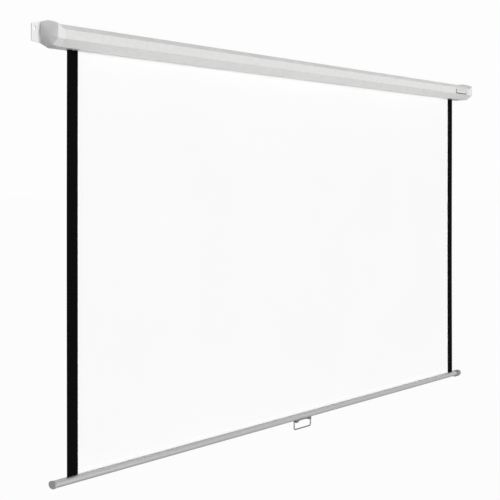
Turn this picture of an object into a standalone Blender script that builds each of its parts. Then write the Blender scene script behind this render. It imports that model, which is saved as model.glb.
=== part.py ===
"""Pull-down projector screen: a spring roller in a steel case that hangs on a wall.

X runs along the screen, -Y is the side that faces the room and +Z is up. The origin lies on the
wall, at the middle of the case's flat back. The screen is drawn fully pulled down.
"""

import math

import bmesh
import bpy
import numpy as np
from mathutils import Matrix, Vector

MM = 0.001
TOUCH = 0.3 * MM

# Screen surface
DROP = 1.256
FABRIC_WIDTH = 2.290
BORDER_WIDTH = 42 * MM
FABRIC_THICKNESS = 0.5 * MM
WALL_TO_FABRIC = 23 * MM

# Steel case
CASE_END_ROOM = 53 * MM
CASE_DEPTH = 83 * MM
CASE_HEIGHT = 66 * MM
CASE_WALL = 1.2 * MM
CASE_FOLD_RADIUS = 2.5 * MM
UPPER_BEVEL_DEPTH = 25 * MM
UPPER_BEVEL_RISE = 17.3 * MM
LOWER_BEVEL_DEPTH = 26 * MM
LOWER_BEVEL_RISE = 21.2 * MM
REAR_BEVEL = 6 * MM
SLOT_WIDTH = 12 * MM
SLOT_LIP = 5 * MM

# Moulded end caps
CAP_COLLAR = 29.5 * MM
CAP_CROWN = 9 * MM
CAP_CROWN_OVAL = 0.92
CAP_RIM_RADIUS = 3 * MM
CAP_RIM_TURN = math.radians(66)
CAP_CORNER_RADIUS = 7 * MM
CAP_WALL = 2.5 * MM
CAP_TOP_RISE = 10.5 * MM
CAP_BOTTOM_RISE = 2 * MM
CAP_REAR_BEVEL_DEPTH = 22 * MM
CAP_REAR_BEVEL_RISE = 10 * MM
CAP_TONGUE_LENGTH = 18 * MM
CAP_TONGUE_THICKNESS = 2 * MM
EAR_REACH = 31 * MM
EAR_THICKNESS = 3 * MM
EAR_BELOW_CAP_TOP = 1.5 * MM
EAR_ABOVE_CAP_BEVEL = 1.5 * MM
EAR_TOP_TAPER = 7 * MM
EAR_BOTTOM_TAPER = 4 * MM
EAR_CORNER_RADIUS = 3 * MM
KEYHOLE_HEAD = 11 * MM
KEYHOLE_NECK = 5 * MM
KEYHOLE_RISE = 7.5 * MM
KEYHOLE_FROM_TIP = 11.5 * MM
KEYHOLE_BELOW_CASE_TOP = 13.25 * MM

# Roller
TUBE_RADIUS = 16 * MM
TUBE_WALL = 1.2 * MM
TUBE_OVERHANG = 5 * MM
WRAP_TURNS = 1.5
WRAP_PITCH = 0.9 * MM
PLUG_DEPTH = 22 * MM
PLUG_FLANGE = 2 * MM
IDLE_PIN_RADIUS = 3 * MM
IDLE_PIN_IN_PLUG = 14 * MM
BUSH_WALL = 2 * MM
BUSH_FLANGE = 2 * MM

# Spring and its arbor
ARBOR_RADIUS = 4 * MM
ARBOR_LENGTH = 190 * MM
TONGUE_THICKNESS = 3 * MM
SPRING_WIRE = 2.0 * MM
SPRING_RADIUS = 7.6 * MM
SPRING_TURNS = 28
SPRING_PITCH = 4.0 * MM
POINTS_PER_COIL = 9
ANCHOR_LENGTH = 12 * MM

# Ratchet lock
RATCHET_TEETH = 4
RATCHET_TIP = 7.2 * MM
RATCHET_ROOT = 5.2 * MM
RATCHET_THICKNESS = 4 * MM
PAWL_PIVOT = TUBE_RADIUS - 4.5 * MM
PAWL_ARM = PAWL_PIVOT - 1.9 * MM
PAWL_EYE = 2.5 * MM
PAWL_TIP = 1.0 * MM
PAWL_THICKNESS = 3 * MM
PAWL_SWING = 38
PAWL_PIN_RADIUS = 1.3 * MM
PAWL_PIN_HEAD = 2.2 * MM
CUP_WALL = 1.2 * MM

# Brackets and screws
BRACKET_THICKNESS = 2 * MM
BRACKET_INSET = 9 * MM
BRACKET_WIDTH = 42 * MM
BRACKET_TOP = 24 * MM
FOOT_LENGTH = 58 * MM
FOOT_WIDTH = 22 * MM
SCREW_RADIUS = 1.9 * MM
SCREW_HEAD_RADIUS = 3.8 * MM
SCREW_HEAD_HEIGHT = 2.2 * MM
SCREW_SHANK = 7 * MM
SCREW_SPACING = 38 * MM
SCREW_FROM_FOOT_END = 9 * MM

# Bottom bar
BAR_OVERHANG = 49 * MM
BAR_DEPTH = 30 * MM
BAR_HEIGHT = 21.5 * MM
BAR_WALL = 1.6 * MM
BAR_SQUARENESS = 2.2
CHANNEL_RADIUS = 4.2 * MM
THROAT = 3 * MM
HEM_ROD_RADIUS = 2.4 * MM
BAR_CAP_THICKNESS = 6 * MM
BAR_CAP_PROUD = 1.0 * MM
BAR_CAP_PLUG = 20 * MM

# Pull handle
BASE_LENGTH = 94 * MM
BASE_WIDTH = 14 * MM
BASE_BRIDGE = 2.6 * MM
BOSS_LENGTH = 16 * MM
BOSS_DROP = 8.4 * MM
BAIL_WIRE = 5.0 * MM
BAIL_HEIGHT = 37 * MM
BAIL_CORNER = 7 * MM
BAIL_BEND = 3.4 * MM
BAIL_IN_BOSS = 8 * MM
BAIL_SIDE_GAP = 1.2 * MM
BASE_SCREW_SPACING = 30 * MM

# Places worked out from the sizes above
CASE_LENGTH = FABRIC_WIDTH + 2 * CASE_END_ROOM
BAR_LENGTH = FABRIC_WIDTH + 2 * BAR_OVERHANG
HALF_CASE = CASE_LENGTH / 2
HALF_FABRIC = FABRIC_WIDTH / 2
CASE_TOP = CASE_HEIGHT / 2
CASE_BOTTOM = -CASE_HEIGHT / 2
FRONT = -CASE_DEPTH
FABRIC_Y = -WALL_TO_FABRIC
WRAP_START = TUBE_RADIUS + TOUCH
WRAP_OUTER = WRAP_START + WRAP_TURNS * WRAP_PITCH + FABRIC_THICKNESS
AXIS_Y = FABRIC_Y - FABRIC_THICKNESS / 2 - TOUCH - WRAP_OUTER
AXIS_Z = 0.0
HALF_TUBE = HALF_FABRIC + TUBE_OVERHANG
TUBE_BORE = TUBE_RADIUS - TUBE_WALL
PLUG_RADIUS = TUBE_BORE - TOUCH
BRACKET_X = HALF_CASE - BRACKET_INSET - BRACKET_THICKNESS
FLOOR_Z = CASE_BOTTOM + CASE_WALL + TOUCH
SLOT_FRONT = FABRIC_Y - SLOT_WIDTH / 2
SLOT_REAR = FABRIC_Y + SLOT_WIDTH / 2
FOOT_REAR = SLOT_FRONT - CASE_FOLD_RADIUS - TOUCH
FOOT_MIDDLE = FOOT_REAR - FOOT_WIDTH / 2
BAR_TOP = CASE_BOTTOM - DROP
BAR_Z = BAR_TOP - BAR_HEIGHT / 2
BAR_BOTTOM = BAR_TOP - BAR_HEIGHT
CHANNEL_Z = BAR_TOP - BAR_WALL - CHANNEL_RADIUS
LIP_RISE = math.sqrt(CHANNEL_RADIUS**2 - (THROAT / 2) ** 2)
ROD_Z = CHANNEL_Z + LIP_RISE - math.sqrt((HEM_ROD_RADIUS + TOUCH) ** 2 - (THROAT / 2) ** 2)
FABRIC_END = ROD_Z + HEM_ROD_RADIUS + TOUCH
PIVOT_Z = BAR_BOTTOM - BOSS_DROP / 2 - TOUCH
HALF_BAIL = BASE_LENGTH / 2 + BAIL_SIDE_GAP + BAIL_WIRE / 2
CARRIER_FACE = HALF_TUBE + PLUG_FLANGE + TOUCH
LOCK_X = CARRIER_FACE + TOUCH + RATCHET_THICKNESS / 2
ARBOR_END = LOCK_X + RATCHET_THICKNESS / 2 + 1 * MM
ARBOR_START = ARBOR_END - ARBOR_LENGTH
SPRING_LENGTH = SPRING_TURNS * SPRING_PITCH
FIXED_ANCHOR_X = HALF_TUBE - PLUG_DEPTH - 4 * MM - ANCHOR_LENGTH / 2
SPRING_RIGHT = FIXED_ANCHOR_X - ANCHOR_LENGTH / 2 - SPRING_WIRE / 2 - TOUCH
SPRING_LEFT = SPRING_RIGHT - SPRING_LENGTH
TURNING_ANCHOR_X = SPRING_LEFT - SPRING_WIRE / 2 - TOUCH - ANCHOR_LENGTH / 2

ROUND = 40
PART_NAME = "projector_screen"


def clear_scene():
    """Removes everything that the file holds at the start."""
    for obj in list(bpy.data.objects):
        bpy.data.objects.remove(obj, do_unlink=True)


def new_collection(name):
    collection = bpy.data.collections.new(name)
    bpy.context.scene.collection.children.link(collection)
    return collection


def new_material(name, colour, roughness, metallic):
    material = bpy.data.materials.new(name)
    material.use_nodes = True
    shader = material.node_tree.nodes["Principled BSDF"]
    shader.inputs["Base Color"].default_value = (*colour, 1.0)
    shader.inputs["Roughness"].default_value = roughness
    shader.inputs["Metallic"].default_value = metallic
    return material


FINISHES = {
    "painted_steel": ((0.79, 0.79, 0.78), 0.38, 0.0),
    "white_plastic": ((0.77, 0.77, 0.77), 0.45, 0.0),
    "grey_plastic": ((0.34, 0.34, 0.34), 0.50, 0.0),
    "dark_plastic": ((0.18, 0.18, 0.18), 0.50, 0.0),
    "white_fabric": ((0.90, 0.90, 0.90), 0.90, 0.0),
    "black_border": ((0.012, 0.012, 0.013), 0.80, 0.0),
    "satin_aluminium": ((0.50, 0.50, 0.50), 0.48, 1.0),
    "zinc_steel": ((0.58, 0.58, 0.56), 0.40, 1.0),
    "spring_steel": ((0.32, 0.31, 0.30), 0.42, 1.0),
    "plated_wire": ((0.34, 0.34, 0.34), 0.32, 1.0),
    "acetal": ((0.70, 0.68, 0.62), 0.50, 0.0),
}


class Model:
    """Keeps the collections, and hands each finished piece its name, finish and carrier."""

    def __init__(self):
        self.parts = new_collection(PART_NAME)
        self.cutters = new_collection("cutters")

    def carrier(self, name, location):
        """An empty on a joint's axis, which the pieces of one moving body hang on."""
        empty = bpy.data.objects.new(name, None)
        empty.location = location
        self.parts.objects.link(empty)
        bpy.context.view_layer.update()
        return empty

    def keep(self, obj, name, finish, carrier=None):
        """Names a piece, gives it a material of its own and hangs it on its carrier."""
        obj.name = name
        obj.data.name = name
        obj.data.materials.clear()
        obj.data.materials.append(new_material(name, *FINISHES[finish]))
        self.parts.objects.link(obj)
        if carrier is not None:
            obj.parent = carrier
            obj.matrix_parent_inverse = carrier.matrix_world.inverted()
        return obj

    def cutter(self, obj, name):
        obj.name = name
        obj.hide_render = True
        obj.display_type = "WIRE"
        self.cutters.objects.link(obj)
        return obj


def mesh_object(mesh_name, bm):
    """Turns a bmesh into an object that is in no collection yet."""
    mesh = bpy.data.meshes.new(mesh_name)
    bm.to_mesh(mesh)
    bm.free()
    return bpy.data.objects.new(mesh_name, mesh)


def smooth(obj, angle=35):
    obj.data.shade_smooth()
    obj.data.set_sharp_from_angle(angle=math.radians(angle))
    return obj


def shade_by_face_area(obj):
    """Large flat faces keep a flat shade, and only the small faces of a fold or fillet blend."""
    weighted = obj.modifiers.new("shade_by_face_area", "WEIGHTED_NORMAL")
    weighted.keep_sharp = True
    return obj


def box(size, centre):
    bm = bmesh.new()
    bmesh.ops.create_cube(bm, size=1.0)
    bmesh.ops.scale(bm, vec=size, verts=bm.verts)
    obj = mesh_object("box", bm)
    obj.location = centre
    return obj


def cylinder(radius, length, centre, axis="X", segments=ROUND):
    bm = bmesh.new()
    bmesh.ops.create_cone(
        bm, cap_ends=True, segments=segments, radius1=radius, radius2=radius, depth=length
    )
    turn = {"X": ("Y", 90), "Y": ("X", 90), "Z": ("Z", 0)}[axis]
    bmesh.ops.rotate(bm, verts=bm.verts, matrix=Matrix.Rotation(math.radians(turn[1]), 3, turn[0]))
    obj = mesh_object("cylinder", bm)
    obj.location = centre
    return smooth(obj)


def mesh_from_curve(curve_object):
    """The curve's mesh with its caps welded on, standing where the curve stands."""
    scene = bpy.context.scene.collection
    scene.objects.link(curve_object)
    bpy.context.view_layer.update()
    evaluated = curve_object.evaluated_get(bpy.context.evaluated_depsgraph_get())
    mesh = bpy.data.meshes.new_from_object(evaluated)
    bm = bmesh.new()
    bm.from_mesh(mesh)
    bmesh.ops.remove_doubles(bm, verts=bm.verts, dist=0.01 * MM)
    bm.to_mesh(mesh)
    bm.free()
    obj = bpy.data.objects.new(curve_object.name, mesh)
    obj.matrix_world = curve_object.matrix_world
    bpy.data.objects.remove(curve_object, do_unlink=True)
    return obj


def plate(outlines, thickness, centre, plane):
    """A flat plate from closed outlines, the first round the others, in the YZ, XZ or XY plane."""
    curve = bpy.data.curves.new("plate", "CURVE")
    curve.dimensions = "2D"
    curve.fill_mode = "BOTH"
    curve.extrude = thickness / 2
    for outline in outlines:
        spline = curve.splines.new("POLY")
        spline.points.add(len(outline) - 1)
        for point, (u, v) in zip(spline.points, outline):
            point.co = (u, v, 0.0, 1.0)
        spline.use_cyclic_u = True
    obj = bpy.data.objects.new("plate", curve)
    obj.rotation_euler = {
        "YZ": (math.pi / 2, 0.0, math.pi / 2),
        "XZ": (math.pi / 2, 0.0, 0.0),
        "XY": (0.0, 0.0, 0.0),
    }[plane]
    obj.location = centre
    return mesh_from_curve(obj)


def wire(points, diameter, resolution=2):
    """A round wire along the points, with closed ends."""
    curve = bpy.data.curves.new("wire", "CURVE")
    curve.dimensions = "3D"
    curve.bevel_depth = diameter / 2
    curve.bevel_resolution = resolution
    curve.use_fill_caps = True
    spline = curve.splines.new("POLY")
    spline.points.add(len(points) - 1)
    for point, place in zip(spline.points, points):
        point.co = (*place, 1.0)
    return smooth(mesh_from_curve(bpy.data.objects.new("wire", curve)), 50)


def turned(profile, segments=ROUND):
    """A turned piece about the X axis. The profile lists (radius, x), outer side first, falling x."""
    bm = bmesh.new()
    verts = [bm.verts.new((radius, 0.0, x)) for radius, x in profile]
    for first, second in zip(verts, verts[1:]):
        bm.edges.new((first, second))
    obj = mesh_object("turned", bm)
    screw = obj.modifiers.new("turn", "SCREW")
    screw.axis = "Z"
    screw.steps = segments
    screw.render_steps = segments
    screw.use_merge_vertices = True
    screw.merge_threshold = 0.01 * MM
    obj.rotation_euler = (0.0, math.pi / 2, 0.0)
    return obj


def cut(obj, cutter, operation="DIFFERENCE"):
    modifier = obj.modifiers.new(cutter.name, "BOOLEAN")
    modifier.operation = operation
    modifier.solver = "EXACT"
    modifier.object = cutter


def arc(centre, radius, start, end, steps):
    """Points on a circle from the start angle to the end angle, in degrees."""
    angles = [math.radians(start + (end - start) * step / steps) for step in range(steps + 1)]
    return [(centre[0] + radius * math.cos(a), centre[1] + radius * math.sin(a)) for a in angles]


def filleted(corners, radius, steps=3, closed=True):
    """The outline through the corners, each rounded to the radius. A straight one is only divided."""
    count = len(corners)
    points = []
    for index, corner in enumerate(corners):
        here = Vector(corner)
        if not closed and index in (0, count - 1):
            points.append(tuple(here))
            continue
        back = (Vector(corners[index - 1]) - here).normalized()
        ahead = (Vector(corners[(index + 1) % count]) - here).normalized()
        half = back.angle(ahead) / 2
        if half > math.radians(89.5):
            along = [radius * (step / steps - 0.5) for step in range(steps + 1)]
            points.extend(tuple(here + ahead * distance) for distance in along)
            continue
        middle = here + (back + ahead).normalized() * radius / math.sin(half)
        start = here + back * radius / math.tan(half) - middle
        end = here + ahead * radius / math.tan(half) - middle
        turn = start.angle_signed(end)
        for step in range(steps + 1):
            swept = start.copy()
            swept.rotate(Matrix.Rotation(-turn * step / steps, 2))
            points.append(tuple(middle + swept))
    return points


def oval(depth, height, centre, steps=ROUND):
    """A squarish oval in the YZ plane, the outline of the bottom bar."""
    power = 2 / BAR_SQUARENESS
    points = []
    for step in range(steps):
        angle = 2 * math.pi * step / steps
        across = math.copysign(abs(math.cos(angle)) ** power, math.cos(angle))
        up = math.copysign(abs(math.sin(angle)) ** power, math.sin(angle))
        points.append((centre[0] + depth / 2 * across, centre[1] + height / 2 * up))
    return points


def case_corners():
    """The folds of the case, from the rear edge of its slot round the front to the front edge."""
    return [
        (SLOT_REAR, CASE_BOTTOM),
        (-REAR_BEVEL, CASE_BOTTOM),
        (0.0, CASE_BOTTOM + REAR_BEVEL),
        (0.0, CASE_TOP),
        (FRONT + UPPER_BEVEL_DEPTH, CASE_TOP),
        (FRONT, CASE_TOP - UPPER_BEVEL_RISE),
        (FRONT, CASE_BOTTOM + LOWER_BEVEL_RISE),
        (FRONT + LOWER_BEVEL_DEPTH, CASE_BOTTOM),
        (SLOT_FRONT, CASE_BOTTOM),
    ]


def build_case(model):
    """A folded sheet with a slot along its underside, and a stiffening lip on each slot edge."""
    lip_top = CASE_BOTTOM + SLOT_LIP
    folds = [(SLOT_REAR, lip_top), *case_corners(), (SLOT_FRONT, lip_top)]
    bm = bmesh.new()
    left = [bm.verts.new((-HALF_CASE, y, z)) for y, z in filleted(folds, CASE_FOLD_RADIUS, 3, False)]
    edges = [bm.edges.new(pair) for pair in zip(left, left[1:])]
    swept = bmesh.ops.extrude_edge_only(bm, edges=edges)["geom"]
    moved = [item for item in swept if isinstance(item, bmesh.types.BMVert)]
    bmesh.ops.translate(bm, verts=moved, vec=(CASE_LENGTH, 0.0, 0.0))
    obj = mesh_object("case", bm)
    face_out(obj, (0.0, AXIS_Y, AXIS_Z))
    shell = obj.modifiers.new("sheet", "SOLIDIFY")
    shell.thickness = CASE_WALL
    shell.offset = -1.0
    shell.use_even_offset = True
    for side in (-1, 1):
        for x in screw_places(side):
            cut(obj, model.cutter(screw_hole(x, CASE_BOTTOM), "case_screw_hole"))
    shade_by_face_area(smooth(obj, 20))
    model.keep(obj, "case_housing", "painted_steel")


def face_out(obj, middle):
    """Turns the faces of an open shell so that they look away from its middle."""
    bm = bmesh.new()
    bm.from_mesh(obj.data)
    middle = Vector(middle)
    inward = 0.0
    for face in bm.faces:
        offset = face.calc_center_median() - middle
        offset.x = 0.0
        inward -= face.calc_area() * face.normal.dot(offset)
    if inward > 0:
        bmesh.ops.reverse_faces(bm, faces=bm.faces)
    bm.to_mesh(obj.data)
    bm.free()


def screw_places(side):
    """Where the screws stand along the case at one end."""
    inner = BRACKET_X - FOOT_LENGTH + SCREW_FROM_FOOT_END
    return [side * inner, side * (inner + SCREW_SPACING)]


def screw_hole(x, z):
    return cylinder(SCREW_RADIUS + TOUCH, 12 * MM, (x, FOOT_MIDDLE, z), "Z", 20)


def cap_outline_at_case():
    """The case's outside, with as many corners as the cap's rim."""
    bevel_start = Vector((FRONT + UPPER_BEVEL_DEPTH, CASE_TOP))
    bevel_end = Vector((FRONT, CASE_TOP - UPPER_BEVEL_RISE))
    return [
        (0.0, CASE_TOP),
        tuple(bevel_start),
        tuple(bevel_start.lerp(bevel_end, 0.55)),
        tuple(bevel_end),
        (FRONT, CASE_BOTTOM + LOWER_BEVEL_RISE),
        (FRONT + LOWER_BEVEL_DEPTH, CASE_BOTTOM),
        (-REAR_BEVEL, CASE_BOTTOM),
        (0.0, CASE_BOTTOM + REAR_BEVEL),
    ]


def cap_outline_at_rim():
    """The cap's outer end: higher than the case, with a full upper front and a slanted lower rear."""
    top = CASE_TOP + CAP_TOP_RISE
    bottom = CASE_BOTTOM + CAP_BOTTOM_RISE
    return [
        (0.0, top),
        (FRONT + 2 * UPPER_BEVEL_DEPTH, top),
        (FRONT + 0.8 * UPPER_BEVEL_DEPTH, CASE_TOP + 0.4 * CAP_TOP_RISE),
        (FRONT - 0.4 * MM, CASE_TOP - 0.2 * UPPER_BEVEL_RISE),
        (FRONT - 0.4 * MM, CASE_BOTTOM + LOWER_BEVEL_RISE + 1 * MM),
        (FRONT + LOWER_BEVEL_DEPTH, bottom + 1 * MM),
        (-CAP_REAR_BEVEL_DEPTH, bottom),
        (0.0, bottom + CAP_REAR_BEVEL_RISE),
    ]


def cap_rings(side):
    """The rings of a cap, from its mouth at the case, round the rim and up to the crown's middle."""
    mouth = divided(filleted(cap_outline_at_case(), CASE_FOLD_RADIUS))
    rim = divided(filleted(cap_outline_at_rim(), CAP_CORNER_RADIUS))
    half_height = (CASE_HEIGHT + CAP_TOP_RISE - CAP_BOTTOM_RISE) / 2
    middle = Vector((FRONT / 2, CASE_TOP + CAP_TOP_RISE - half_height))
    edge_of_mouth = HALF_CASE + TOUCH
    start = edge_of_mouth + 2 * MM
    end = HALF_CASE + CAP_COLLAR
    rings = [(edge_of_mouth, [Vector(point) for point in mouth])]
    for step in range(4):
        share = step / 3
        blend = share * share * (3 - 2 * share)
        x = start + (end - CAP_RIM_RADIUS - start) * share
        rings.append((x, [Vector(a).lerp(Vector(b), blend) for a, b in zip(mouth, rim)]))
    for step in (1, 2):
        angle = CAP_RIM_TURN * step / 2
        inset = CAP_RIM_RADIUS * (1 - math.cos(angle))
        x = end - CAP_RIM_RADIUS * (1 - math.sin(angle))
        rings.append((x, [pull_in(Vector(point), middle, inset) for point in rim]))
    edge_x, edge = rings[-1]
    for share in (0.85, 0.66, 0.44, 0.2):
        x = edge_x + CAP_CROWN * (1 - share**2)
        rings.append((x, [crown_point(point, middle, half_height, share) for point in edge]))
    return [[(side * x, *point) for point in ring] for x, ring in rings]


def crown_point(point, middle, half_height, share):
    """A point of the crown: near the rim it follows the rim's outline, and further in an oval."""
    reach = point - middle
    out_of_oval = math.hypot(reach[0] / (CASE_DEPTH / 2), reach[1] / half_height)
    oval_share = CAP_CROWN_OVAL / out_of_oval
    return middle + reach * share * (share + (1 - share) * oval_share)


def divided(outline):
    """A filleted outline with its straight sides halved, so that a crown over it curves evenly."""
    points = []
    for index, point in enumerate(outline):
        points.append(point)
        if index % 4 == 3:
            after = Vector(outline[(index + 1) % len(outline)])
            points.append(tuple(after.lerp(Vector(point), 0.5)))
    return points


def pull_in(point, middle, distance):
    """The point moved by the distance towards the middle."""
    toward = (middle - point).normalized() * distance
    return point + toward


def loft(rings):
    """A skin over the rings, closed with one face over the last."""
    bm = bmesh.new()
    loops = [[bm.verts.new(point) for point in ring] for ring in rings]
    count = len(loops[0])
    for lower, upper in zip(loops, loops[1:]):
        for index in range(count):
            after = (index + 1) % count
            bm.faces.new((lower[index], lower[after], upper[after], upper[index]))
    bm.faces.new(loops[-1])
    bmesh.ops.recalc_face_normals(bm, faces=bm.faces)
    return bm


def cap_tongues(side):
    """The three tongues that slide inside the case: (size, centre) of each."""
    reach = CAP_TONGUE_LENGTH + 8 * MM
    x = side * (HALF_CASE + 8 * MM - reach / 2)
    inset = CASE_WALL + TOUCH + CAP_TONGUE_THICKNESS / 2
    top_depth = CASE_DEPTH - UPPER_BEVEL_DEPTH
    front_height = CASE_HEIGHT - UPPER_BEVEL_RISE - LOWER_BEVEL_RISE
    front_z = CASE_BOTTOM + LOWER_BEVEL_RISE + front_height / 2
    thick = CAP_TONGUE_THICKNESS
    return [
        ((reach, 0.62 * top_depth, thick), (x, -0.48 * top_depth, CASE_TOP - inset)),
        ((reach, thick, 0.7 * front_height), (x, FRONT + inset, front_z)),
        ((reach, thick, 0.52 * CASE_HEIGHT), (x, -inset, 0.03 * CASE_HEIGHT)),
    ]


def keyhole_centre(side):
    """The middle of the round end of the keyhole, where a screw head passes."""
    x = HALF_CASE + CAP_COLLAR + EAR_REACH - KEYHOLE_FROM_TIP
    return side * x, CASE_TOP - KEYHOLE_BELOW_CASE_TOP


def keyhole_outline(side):
    """A drop shape: a round end for the screw head, narrowing to a neck above it."""
    x, z = keyhole_centre(side)
    head = KEYHOLE_HEAD / 2
    neck = KEYHOLE_NECK / 2
    lean = math.degrees(math.asin((head - neck) / KEYHOLE_RISE))
    lower = arc((x, z), head, 180 - lean, 360 + lean, 14)
    upper = arc((x, z + KEYHOLE_RISE), neck, lean, 180 - lean, 6)
    return lower + upper


def build_end_cap(model, side, name):
    """A moulded cap with a crowned end, an ear for the wall screw and tongues for the case."""
    bm = loft(cap_rings(side))
    obj = mesh_object(name, bm)
    face_out(obj, (side * (HALF_CASE + CAP_COLLAR / 2), FRONT / 2, 0.0))
    shell = obj.modifiers.new("moulding", "SOLIDIFY")
    shell.thickness = CAP_WALL
    shell.offset = -1.0
    shell.use_even_offset = True
    for number, (size, centre) in enumerate(cap_tongues(side)):
        tongue = model.cutter(box(size, centre), f"{name}_tongue_{number}")
        cut(obj, tongue, "UNION")
    cut(obj, model.cutter(cap_ear(side), f"{name}_ear"), "UNION")
    hole = plate([keyhole_outline(side)], 4 * EAR_THICKNESS, (0.0, -EAR_THICKNESS / 2, 0.0), "XZ")
    cut(obj, model.cutter(hole, f"{name}_keyhole"))
    shade_by_face_area(smooth(obj, 30))
    model.keep(obj, name, "white_plastic")


def cap_ear(side):
    """The flat ear that lies on the wall beside the cap and narrows a little to its tip."""
    root = HALF_CASE + CAP_COLLAR
    inner = root - 8 * MM
    outer = root + EAR_REACH
    top = CASE_TOP + CAP_TOP_RISE - EAR_BELOW_CAP_TOP
    bottom = CASE_BOTTOM + CAP_BOTTOM_RISE + CAP_REAR_BEVEL_RISE + EAR_ABOVE_CAP_BEVEL
    corners = [
        (side * inner, top - 6 * MM),
        (side * root, top),
        (side * outer, top - EAR_TOP_TAPER),
        (side * outer, bottom + EAR_BOTTOM_TAPER),
        (side * root, bottom),
        (side * inner, bottom + 2 * MM),
    ]
    outline = filleted(corners, EAR_CORNER_RADIUS)
    return plate([outline], EAR_THICKNESS, (0.0, -EAR_THICKNESS / 2, 0.0), "XZ")


def bracket_outline():
    """The upright of a bracket: a rounded shield round the roller's axis that stands on its foot."""
    half = BRACKET_WIDTH / 2
    foot_front = FOOT_REAR - FOOT_WIDTH
    return filleted(
        [
            (foot_front, FLOOR_Z),
            (FOOT_REAR, FLOOR_Z),
            (FOOT_REAR, CASE_BOTTOM + SLOT_LIP + 2 * MM),
            (AXIS_Y + half, AXIS_Z - 12 * MM),
            (AXIS_Y + half, AXIS_Z + 14 * MM),
            (AXIS_Y + half - 9 * MM, AXIS_Z + BRACKET_TOP),
            (AXIS_Y - half + 9 * MM, AXIS_Z + BRACKET_TOP),
            (AXIS_Y - half, AXIS_Z + 14 * MM),
            (AXIS_Y - half, AXIS_Z - 12 * MM),
        ],
        1 * MM,
    )


def build_bracket(model, side, name, opening):
    """A bent steel bracket with an opening for the roller's end and holes for two screws."""
    centre = side * (BRACKET_X + BRACKET_THICKNESS / 2)
    obj = plate([bracket_outline(), opening], BRACKET_THICKNESS, (centre, 0.0, 0.0), "YZ")
    foot_centre = (
        side * (BRACKET_X + BRACKET_THICKNESS - FOOT_LENGTH / 2),
        FOOT_MIDDLE,
        FLOOR_Z + BRACKET_THICKNESS / 2,
    )
    foot = box((FOOT_LENGTH, FOOT_WIDTH, BRACKET_THICKNESS), foot_centre)
    cut(obj, model.cutter(foot, f"{name}_foot"), "UNION")
    for x in screw_places(side):
        cut(obj, model.cutter(screw_hole(x, FLOOR_Z), f"{name}_hole"))
    model.keep(obj, name, "zinc_steel")


def idle_opening():
    return arc((AXIS_Y, AXIS_Z), IDLE_PIN_RADIUS + BUSH_WALL + 2 * TOUCH, 360, 9, 38)


def tongue_opening():
    """The upright slot that keeps the arbor's flat tongue from turning."""
    half_width = TONGUE_THICKNESS / 2 + TOUCH
    half_height = ARBOR_RADIUS + TOUCH
    return [
        (AXIS_Y - half_width, AXIS_Z - half_height),
        (AXIS_Y - half_width, AXIS_Z + half_height),
        (AXIS_Y + half_width, AXIS_Z + half_height),
        (AXIS_Y + half_width, AXIS_Z - half_height),
    ]


def screw(head_z, x, y):
    """A pan-head screw that stands on its head, with its shank pointing up."""
    obj = turned(
        [
            (0.0, SCREW_SHANK),
            (SCREW_RADIUS * 0.7, SCREW_SHANK),
            (SCREW_RADIUS, SCREW_SHANK - 1 * MM),
            (SCREW_RADIUS, 0.0),
            (SCREW_HEAD_RADIUS, 0.0),
            (SCREW_HEAD_RADIUS, -SCREW_HEAD_HEIGHT * 0.45),
            (SCREW_HEAD_RADIUS * 0.8, -SCREW_HEAD_HEIGHT * 0.85),
            (SCREW_HEAD_RADIUS * 0.45, -SCREW_HEAD_HEIGHT),
            (0.0, -SCREW_HEAD_HEIGHT),
        ],
        16,
    )
    obj.rotation_euler = (0.0, 0.0, 0.0)
    obj.location = (x, y, head_z)
    return obj


def build_case_screws(model):
    number = 0
    for side in (-1, 1):
        for x in screw_places(side):
            number += 1
            obj = screw(CASE_BOTTOM - TOUCH, x, FOOT_MIDDLE)
            model.keep(smooth(obj), f"case_screw_{number}", "zinc_steel")


def build_fabric(model):
    """The hanging sheet: a white field between two black side borders."""
    height = AXIS_Z - FABRIC_END
    middle_z = (AXIS_Z + FABRIC_END) / 2
    field = FABRIC_WIDTH - 2 * BORDER_WIDTH
    panel = box((field, FABRIC_THICKNESS, height), (0.0, FABRIC_Y, middle_z))
    model.keep(panel, "screen_fabric", "white_fabric")
    for side, name in ((-1, "border_left"), (1, "border_right")):
        width = BORDER_WIDTH - TOUCH
        x = side * (HALF_FABRIC - width / 2)
        strip = box((width, FABRIC_THICKNESS, height), (x, FABRIC_Y, middle_z))
        model.keep(strip, name, "black_border")


def build_wrap(model, carrier):
    """The turns of fabric that stay on the roller: a spiral that ends just behind the hanging sheet."""
    steps = int(WRAP_TURNS * ROUND)
    bm = bmesh.new()
    left = []
    for step in range(steps + 1):
        turns_left = WRAP_TURNS * (1 - step / steps)
        angle = 2 * math.pi * turns_left
        radius = WRAP_OUTER - WRAP_PITCH * turns_left
        y = AXIS_Y + radius * math.cos(angle)
        z = AXIS_Z + radius * math.sin(angle)
        left.append(bm.verts.new((-HALF_FABRIC, y, z)))
    edges = [bm.edges.new(pair) for pair in zip(left, left[1:])]
    swept = bmesh.ops.extrude_edge_only(bm, edges=edges)["geom"]
    moved = [item for item in swept if isinstance(item, bmesh.types.BMVert)]
    bmesh.ops.translate(bm, verts=moved, vec=(FABRIC_WIDTH, 0.0, 0.0))
    obj = mesh_object("wrap", bm)
    face_out(obj, (0.0, AXIS_Y, AXIS_Z))
    sheet = obj.modifiers.new("cloth", "SOLIDIFY")
    sheet.thickness = FABRIC_THICKNESS
    sheet.offset = -1.0
    model.keep(smooth(obj), "fabric_wrap", "white_fabric", carrier)


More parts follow.
